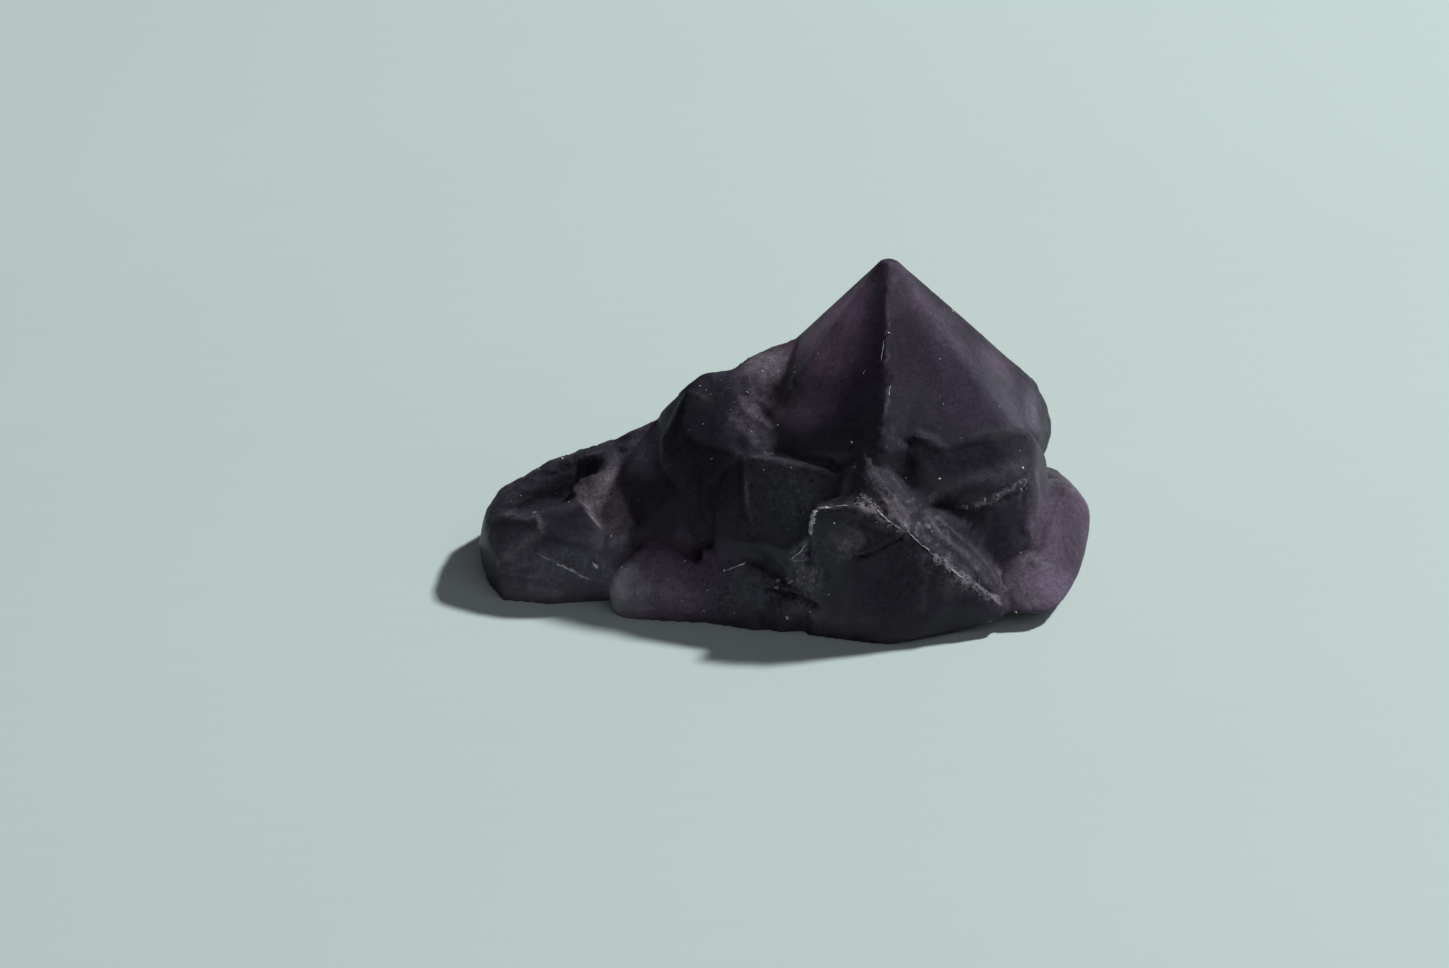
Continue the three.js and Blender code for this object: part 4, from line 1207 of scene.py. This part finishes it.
def splinter_tree():
    """Ragged splinters along lines, thick in the middle and pointed at their ends."""
    tree, given, result = geometry_tree("splinters along lines", (
        ("Width", "NodeSocketFloat", 0.2 * MM),
        ("Raggedness", "NodeSocketFloat", 0.05 * MM),
        ("Step", "NodeSocketFloat", 0.09 * MM),
        ("Seed", "NodeSocketInt", 1),
        ("Material", "NodeSocketMaterial", None),
    ))
    line = add_node(tree, "GeometryNodeMeshToCurve", {}, {"Mesh": given.out("Geometry")})
    fine = add_node(
        tree, "GeometryNodeResampleCurve", {"mode": "LENGTH"},
        {"Curve": line.out(), "Length": given.out("Step")},
    )
    here = add_node(tree, "GeometryNodeInputPosition").out() * 1000.0 + given.out("Seed")
    uneven = add_node(tree, "ShaderNodeTexNoise", {}, {"Vector": here, "Scale": 2.2, "Detail": 2.0})
    drift = (uneven.out(1) - (0.5, 0.5, 0.5)) * 4.0
    moved = add_node(
        tree, "GeometryNodeSetPosition", {},
        {"Geometry": fine.out(), "Offset": drift * given.out("Raggedness")},
    )
    along = add_node(tree, "GeometryNodeSplineParameter").out("Factor")
    taper = ((along * (1.0 - along)) * 4.0) ** 0.35
    thick = (uneven.out(0) - 0.5) * 2.4 + 0.85
    section = add_node(
        tree, "GeometryNodeCurvePrimitiveQuadrilateral", {"mode": "RECTANGLE"},
        {"Width": 2.0, "Height": 1.1},
    )
    body = add_node(
        tree, "GeometryNodeCurveToMesh", {},
        {
            "Curve": moved.out(), "Profile Curve": section.out(), "Fill Caps": True,
            "Scale": taper * thick * given.out("Width") * 0.5,
        },
    )
    return finished_tree(tree, given, result, body.out())


def run_tree(piece, tree, inputs, name):
    """The piece's mesh after a Geometry Nodes tree with these input values."""
    modifier = piece.modifiers.new("Nodes", "NODES")
    modifier.node_group = tree
    sockets = {item.name: item.identifier for item in tree.interface.items_tree if item.in_out == "INPUT"}
    for label, value in inputs.items():
        modifier[sockets[label]] = value
    return settled_mesh(piece, name)


def joined(name, meshes):
    """One mesh of several that share a material."""
    shape = bmesh.new()
    for mesh in meshes:
        shape.from_mesh(mesh)
    bmesh.ops.recalc_face_normals(shape, faces=shape.faces)
    together = bpy.data.meshes.new(name)
    shape.to_mesh(together)
    shape.free()
    together.materials.append(meshes[0].materials[0])
    for mesh in meshes:
        bpy.data.meshes.remove(mesh)
    return together


QUARTZ = "amethyst_quartz"


def scattered(name, values, inputs):
    """Chips over the visible quartz: `values` is worked out from its points and normals."""
    surface = bpy.data.objects[QUARTZ].data.copy()
    places, normals = mesh_arrays(surface)
    store_values(surface, "chips", values(places, normals))
    return run_tree(link_mesh("chip ground", surface), scatter_tree(), inputs, name)


def crumb_share(places, normals):
    """Crumbs lie in clumps along the crests."""
    clumps = eased(noise_values(places, 1.2, 2, 6), -0.15, 0.25)
    return eased(crest_share(places), 0.25, 0.75) * (0.15 + 0.85 * clumps)


def build_crumbs(look):
    """Pale crumbs that sit on the broken crests."""
    mesh = scattered(
        "ridge crumbs", crumb_share,
        {
            "Density": look.crumb_density, "Smallest": 0.025 * MM, "Largest": look.crumb_size,
            "Seed": 7, "Material": crumb_material(look),
        },
    )
    return link_mesh("ridge_crumbs", mesh)


def on_quartz(line, sunk):
    """A line laid on the visible quartz, its points close together and sunk a little way in."""
    quartz = bpy.data.objects[QUARTZ]
    laid = []
    for start, end in zip(line, line[1:]):
        for share in np.linspace(0, 1, 6, endpoint=False):
            laid.append(Vector(start).lerp(Vector(end), share) * MM)
    laid.append(Vector(line[-1]) * MM)
    points = []
    for place in laid:
        _, spot, normal, _ = quartz.closest_point_on_mesh(place)
        points.append(spot - normal * sunk)
    return points


def build_splinters(look):
    """Thin bright splinters along the edges of broken plates."""
    tree = splinter_tree()
    white = splinter_material(look)
    meshes = []
    for index, (line, width) in enumerate(SPLINTERS):
        points = on_quartz(line, -0.02 * MM)
        thread = bpy.data.meshes.new("splinter line")
        steps = [(index, index + 1) for index in range(len(points) - 1)]
        thread.from_pydata([tuple(point) for point in points], steps, [])
        meshes.append(run_tree(
            link_mesh("splinter line", thread), tree,
            {
                "Width": width * MM, "Raggedness": 0.35 * width * MM, "Step": 0.12 * MM,
                "Seed": 20 + index, "Material": white,
            },
            "splinter",
        ))
    return link_mesh("bright_splinters", joined("bright splinters", meshes))


def dust_share(places, normals):
    """Dust lies on what faces up, and none on the underside."""
    above = eased(places[:, 2], 0.2 * MM, 0.5 * MM)
    return (eased(normals[:, 2], 0.15, 0.9) * 0.8 + 0.06) * above


def build_dust(look):
    """Fine pale dust over the whole stone, and single grains."""
    pale = dust_material()
    dust = scattered(
        "dust", dust_share,
        {
            "Density": look.dust_density, "Smallest": 0.02 * MM, "Largest": 0.085 * MM,
            "Seed": 31, "Material": pale,
        },
    )
    quartz = bpy.data.objects[QUARTZ]
    laid = [quartz.closest_point_on_mesh(Vector(place) * MM)[1:3] for place in SPECKS]
    points = bpy.data.meshes.new("grain places")
    points.from_pydata([tuple(spot + normal * 0.03 * MM) for spot, normal in laid], [], [])
    grains = run_tree(
        link_mesh("grain places", points), speck_tree(),
        {"Smallest": 0.6 * SPECK_MM * MM, "Largest": SPECK_MM * MM, "Seed": 12, "Material": pale},
        "grains",
    )
    return link_mesh("dust_specks", joined("dust", [dust, grains]))


# Settings


class AmethystLook(bpy.types.PropertyGroup):
    """Sizes and colours of the quartz."""

    fineness: bpy.props.FloatProperty(
        name="Fineness", description="Edge length of the finished surface's small faces",
        default=0.000206, min=0.0001, max=0.001, unit="LENGTH", precision=5,
    )
    wear: bpy.props.IntProperty(
        name="Edge wear", description="How often the edges are smoothed", default=3, min=0, max=20,
    )
    relief: bpy.props.FloatProperty(
        name="Fine relief", description="Strength of the finest bumps", default=1.0, min=0.0, max=3.0,
    )
    polish: bpy.props.FloatProperty(
        name="Polish", description="Roughness of the clearest faces", default=0.27, min=0.0, max=1.0,
    )
    ior: bpy.props.FloatProperty(
        name="IOR", description="Refractive index of quartz", default=1.544, min=1.0, max=2.5,
    )
    depth_colour: bpy.props.FloatVectorProperty(
        name="Depth colour", description="Colour that light keeps inside the quartz",
        default=(0.32, 0.02, 0.34), size=3, min=0.0, max=1.0, subtype="COLOR",
    )
    depth_density: bpy.props.FloatProperty(
        name="Depth density", description="How strongly the quartz absorbs, a metre", default=260.0, min=0.0,
    )
    gloss: bpy.props.FloatProperty(
        name="Gloss", description="Strength of reflections, 0.5 for a perfectly clean surface",
        default=0.36, min=0.0, max=1.0, subtype="FACTOR",
    )
    haze_gloss: bpy.props.FloatProperty(
        name="Haze gloss", description="Strength of reflections where the stone is hazy",
        default=0.06, min=0.0, max=1.0, subtype="FACTOR",
    )
    clearness: bpy.props.FloatProperty(
        name="Clearness", description="How much of the plain surface lets light into the stone",
        default=0.24, min=0.0, max=1.0, subtype="FACTOR",
    )
    deep_colour: bpy.props.FloatVectorProperty(
        name="Deep colour", description="Colour of the dark body",
        default=(0.044, 0.038, 0.056), size=3, min=0.0, max=1.0, subtype="COLOR",
    )
    slate_colour: bpy.props.FloatVectorProperty(
        name="Slate colour", description="Colour of the flat dull fracture faces",
        default=(0.064, 0.067, 0.079), size=3, min=0.0, max=1.0, subtype="COLOR",
    )
    # Painted shade: the colour that darkens hollows and shaded places.
    painted_shade_colour: bpy.props.FloatVectorProperty(
        name="Dusk colour", description="Colour of the darkest hollows",
        default=(0.012, 0.010, 0.016), size=3, min=0.0, max=1.0, subtype="COLOR",
    )
    violet_colour: bpy.props.FloatVectorProperty(
        name="Violet colour", description="Colour of the strongly coloured zones",
        default=(0.045, 0.024, 0.062), size=3, min=0.0, max=1.0, subtype="COLOR",
    )
    # Painted light: mauve light that seems to come through thin parts.
    painted_mauve_light_colour: bpy.props.FloatVectorProperty(
        name="Mauve colour", description="Colour where light comes through the thin parts",
        default=(0.165, 0.116, 0.176), size=3, min=0.0, max=1.0, subtype="COLOR",
    )
    # Partly the stone's own milky haze, partly painted light on faces away from the lamps.
    lavender_haze_and_painted_light_colour: bpy.props.FloatVectorProperty(
        name="Lavender colour", description="Colour of the greyish hazy places",
        default=(0.17, 0.145, 0.22), size=3, min=0.0, max=1.0, subtype="COLOR",
    )
    # Painted light: pink light in thin edges away from the lamp.
    painted_rose_light_colour: bpy.props.FloatVectorProperty(
        name="Rose colour", description="Colour of the pink light in thin edges away from the lamp",
        default=(0.46, 0.27, 0.46), size=3, min=0.0, max=1.0, subtype="COLOR",
    )
    # Painted light: milky light on faces away from the lamp.
    painted_lilac_light_colour: bpy.props.FloatVectorProperty(
        name="Lilac colour", description="Colour of the milky light in faces away from the lamp",
        default=(0.46, 0.42, 0.50), size=3, min=0.0, max=1.0, subtype="COLOR",
    )
    pearl_colour: bpy.props.FloatVectorProperty(
        name="Pearl colour", description="Colour of the pearly fracture faces",
        default=(0.21, 0.175, 0.21), size=3, min=0.0, max=1.0, subtype="COLOR",
    )
    # Partly real light seams and streaks, partly painted highlights along edges and rims.
    seam_and_painted_highlight_colour: bpy.props.FloatVectorProperty(
        name="Seam colour", description="Colour of the light seams and streaks",
        default=(0.20, 0.18, 0.215), size=3, min=0.0, max=1.0, subtype="COLOR",
    )
    crumb_colour: bpy.props.FloatVectorProperty(
        name="Crumb colour", description="Colour of the duller crumbs and splinters",
        default=(0.25, 0.23, 0.27), size=3, min=0.0, max=1.0, subtype="COLOR",
    )
    crumb_size: bpy.props.FloatProperty(
        name="Crumb size", description="Size of the largest crumbs",
        default=0.0002, min=0.0, unit="LENGTH", precision=5,
    )
    crumb_density: bpy.props.FloatProperty(
        name="Crumb density", description="Crumbs a square metre where they lie thickest",
        default=7.0e7, min=0.0,
    )
    dust_density: bpy.props.FloatProperty(
        name="Dust density", description="Dust specks a square metre", default=2.5e5, min=0.0,
    )


class AmethystStage(bpy.types.PropertyGroup):
    """Sizes, lights and view of the stage."""

    floor_size: bpy.props.FloatProperty(
        name="Floor size", description="Side of the square floor", default=4.0, min=0.1, unit="LENGTH",
    )
    floor_colour: bpy.props.FloatVectorProperty(
        name="Floor colour", description="Colour of the painted floor",
        default=(0.66, 0.785, 0.77), size=3, min=0.0, max=1.0, subtype="COLOR",
    )
    key_energy: bpy.props.FloatProperty(
        name="Key light", description="Power of the steep light", default=16.8, min=0.0, unit="POWER",
    )
    side_energy: bpy.props.FloatProperty(
        name="Side light", description="Power of the broad light at the right",
        default=1.3, min=0.0, unit="POWER",
    )
    sky_strength: bpy.props.FloatProperty(
        name="Sky", description="Strength of the light from all around", default=0.07, min=0.0,
    )
    view_elevation: bpy.props.FloatProperty(
        name="View elevation", description="How far the camera looks down",
        default=math.radians(32.0), subtype="ANGLE",
    )
    view_roll: bpy.props.FloatProperty(
        name="View roll", description="How far the camera is turned about its own axis",
        default=math.radians(3.5), subtype="ANGLE",
    )
    view_distance: bpy.props.FloatProperty(
        name="View distance", description="Camera to cluster along the view", default=0.23065, unit="LENGTH",
    )


# Operators


class AMETHYST_OT_quartz(bpy.types.Operator):
    """Build the visible quartz over the cluster's solid"""

    bl_idname = "amethyst.quartz"
    bl_label = "Quartz"

    def execute(self, context):
        """Makes the surface and lets it stand for the solid."""
        piece = build_quartz(context.scene.amethyst_look)
        hand_over(piece)
        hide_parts(NODE)
        return {"FINISHED"}


class AMETHYST_OT_crumbs(bpy.types.Operator):
    """Scatter white crumbs along the broken crests"""

    bl_idname = "amethyst.crumbs"
    bl_label = "Crumbs"

    def execute(self, context):
        """Makes the crumbs as one piece."""
        hand_over(build_crumbs(context.scene.amethyst_look))
        return {"FINISHED"}


class AMETHYST_OT_splinters(bpy.types.Operator):
    """Lay bright splinters along the broken plates"""

    bl_idname = "amethyst.splinters"
    bl_label = "Splinters"

    def execute(self, context):
        """Makes the splinters as one piece."""
        hand_over(build_splinters(context.scene.amethyst_look))
        return {"FINISHED"}


class AMETHYST_OT_dust(bpy.types.Operator):
    """Scatter pale dust over the stone"""

    bl_idname = "amethyst.dust"
    bl_label = "Dust"

    def execute(self, context):
        """Makes the dust as one piece."""
        hand_over(build_dust(context.scene.amethyst_look))
        return {"FINISHED"}


FRAME_WIDTH = 1449.0
FRAME_HEIGHT = 968.0
FOCAL_PIXELS = 3100.0
SENSOR_MM = 36.0
ORIGIN_IN_VIEW = (782.0, 534.0)  # where the cluster's origin lies in the frame


def place_camera(stage):
    """The camera, with the cluster's origin where it belongs in the view."""
    elevation = stage.view_elevation
    roll = stage.view_roll
    flat_right = Vector((1, 0, 0))
    flat_up = Vector((0, math.sin(elevation), math.cos(elevation)))
    toward = Vector((0, -math.cos(elevation), math.sin(elevation)))
    right = math.cos(roll) * flat_right - math.sin(roll) * flat_up
    up = math.sin(roll) * flat_right + math.cos(roll) * flat_up
    across = (ORIGIN_IN_VIEW[0] - FRAME_WIDTH / 2) / FOCAL_PIXELS
    down = (ORIGIN_IN_VIEW[1] - FRAME_HEIGHT / 2) / FOCAL_PIXELS
    centre = -stage.view_distance * (across * right - down * up - toward)
    data = bpy.data.cameras.new("camera")
    data.sensor_width = SENSOR_MM
    data.lens = SENSOR_MM * FOCAL_PIXELS / FRAME_WIDTH
    data.clip_start = 0.01
    camera = bpy.data.objects.new("camera", data)
    turned = Matrix((right, up, toward)).transposed().to_4x4()
    camera.matrix_world = Matrix.Translation(centre) @ turned
    bpy.context.scene.collection.objects.link(camera)
    bpy.context.scene.camera = camera


def add_area_light(name, place, aim, size, energy, colour):
    """A soft square light that faces a point."""
    data = bpy.data.lights.new(name, "AREA")
    data.size = size
    data.energy = energy
    data.color = colour
    light = bpy.data.objects.new(name, data)
    light.location = place
    light.rotation_euler = (Vector(aim) - Vector(place)).to_track_quat("-Z", "Y").to_euler()
    bpy.context.scene.collection.objects.link(light)


class AMETHYST_OT_stage(bpy.types.Operator):
    """Set the floor, the lights and the camera"""

    bl_idname = "amethyst.stage"
    bl_label = "Stage"

    def execute(self, context):
        """Makes everything around the cluster."""
        stage = context.scene.amethyst_stage
        shape = bmesh.new()
        bmesh.ops.create_grid(shape, x_segments=1, y_segments=1, size=stage.floor_size / 2)
        mesh = bpy.data.meshes.new("floor")
        shape.to_mesh(mesh)
        shape.free()
        mesh.materials.append(floor_material(stage))
        floor = link_mesh("floor", mesh)
        add_area_light("key light", (0.86, 0.37, 0.94), (0, 0, 0), 0.10, stage.key_energy, (0.97, 1.0, 0.98))
        add_area_light(
            "side light", (0.75, -0.66, 0.81), (0, 0, 0.01), 1.1, stage.side_energy, (1.0, 0.98, 1.0),
        )
        world = bpy.data.worlds.new("soft sky")
        world.use_nodes = True
        backdrop = world.node_tree.nodes["Background"]
        backdrop.inputs["Color"].default_value = (1.0, 0.98, 1.0, 1.0)
        backdrop.inputs["Strength"].default_value = stage.sky_strength
        context.scene.world = world
        context.scene.view_settings.view_transform = "Standard"
        place_camera(stage)
        return {"FINISHED"}


class AMETHYST_PT_panel(bpy.types.Panel):
    """Everything that can be built, and its settings"""

    bl_label = "Amethyst"
    bl_idname = "AMETHYST_PT_panel"
    bl_space_type = "VIEW_3D"
    bl_region_type = "UI"
    bl_category = "Amethyst"

    def draw(self, context):
        """Lists the settings and the operators."""
        layout = self.layout
        for settings in (context.scene.amethyst_look, context.scene.amethyst_stage):
            box = layout.box()
            for name in settings.__annotations__:
                box.prop(settings, name)
        for operator in BUILD_ORDER:
            layout.operator(operator.bl_idname)


BUILD_ORDER = (
    AMETHYST_OT_quartz,
    AMETHYST_OT_crumbs,
    AMETHYST_OT_splinters,
    AMETHYST_OT_dust,
    AMETHYST_OT_stage,
)
CLASSES = (AmethystLook, AmethystStage, *BUILD_ORDER, AMETHYST_PT_panel)


def register():
    """Adds the classes and the scene's settings."""
    for made in CLASSES:
        bpy.utils.register_class(made)
    bpy.types.Scene.amethyst_look = bpy.props.PointerProperty(type=AmethystLook)
    bpy.types.Scene.amethyst_stage = bpy.props.PointerProperty(type=AmethystStage)


def unregister():
    """Takes the settings and the classes away again."""
    del bpy.types.Scene.amethyst_stage
    del bpy.types.Scene.amethyst_look
    for made in reversed(CLASSES):
        bpy.utils.unregister_class(made)


def main():
    """Builds every piece in order."""
    register()
    for operator in BUILD_ORDER:
        section, name = operator.bl_idname.split(".")
        getattr(getattr(bpy.ops, section), name)()


if __name__ == "__main__":
    main()
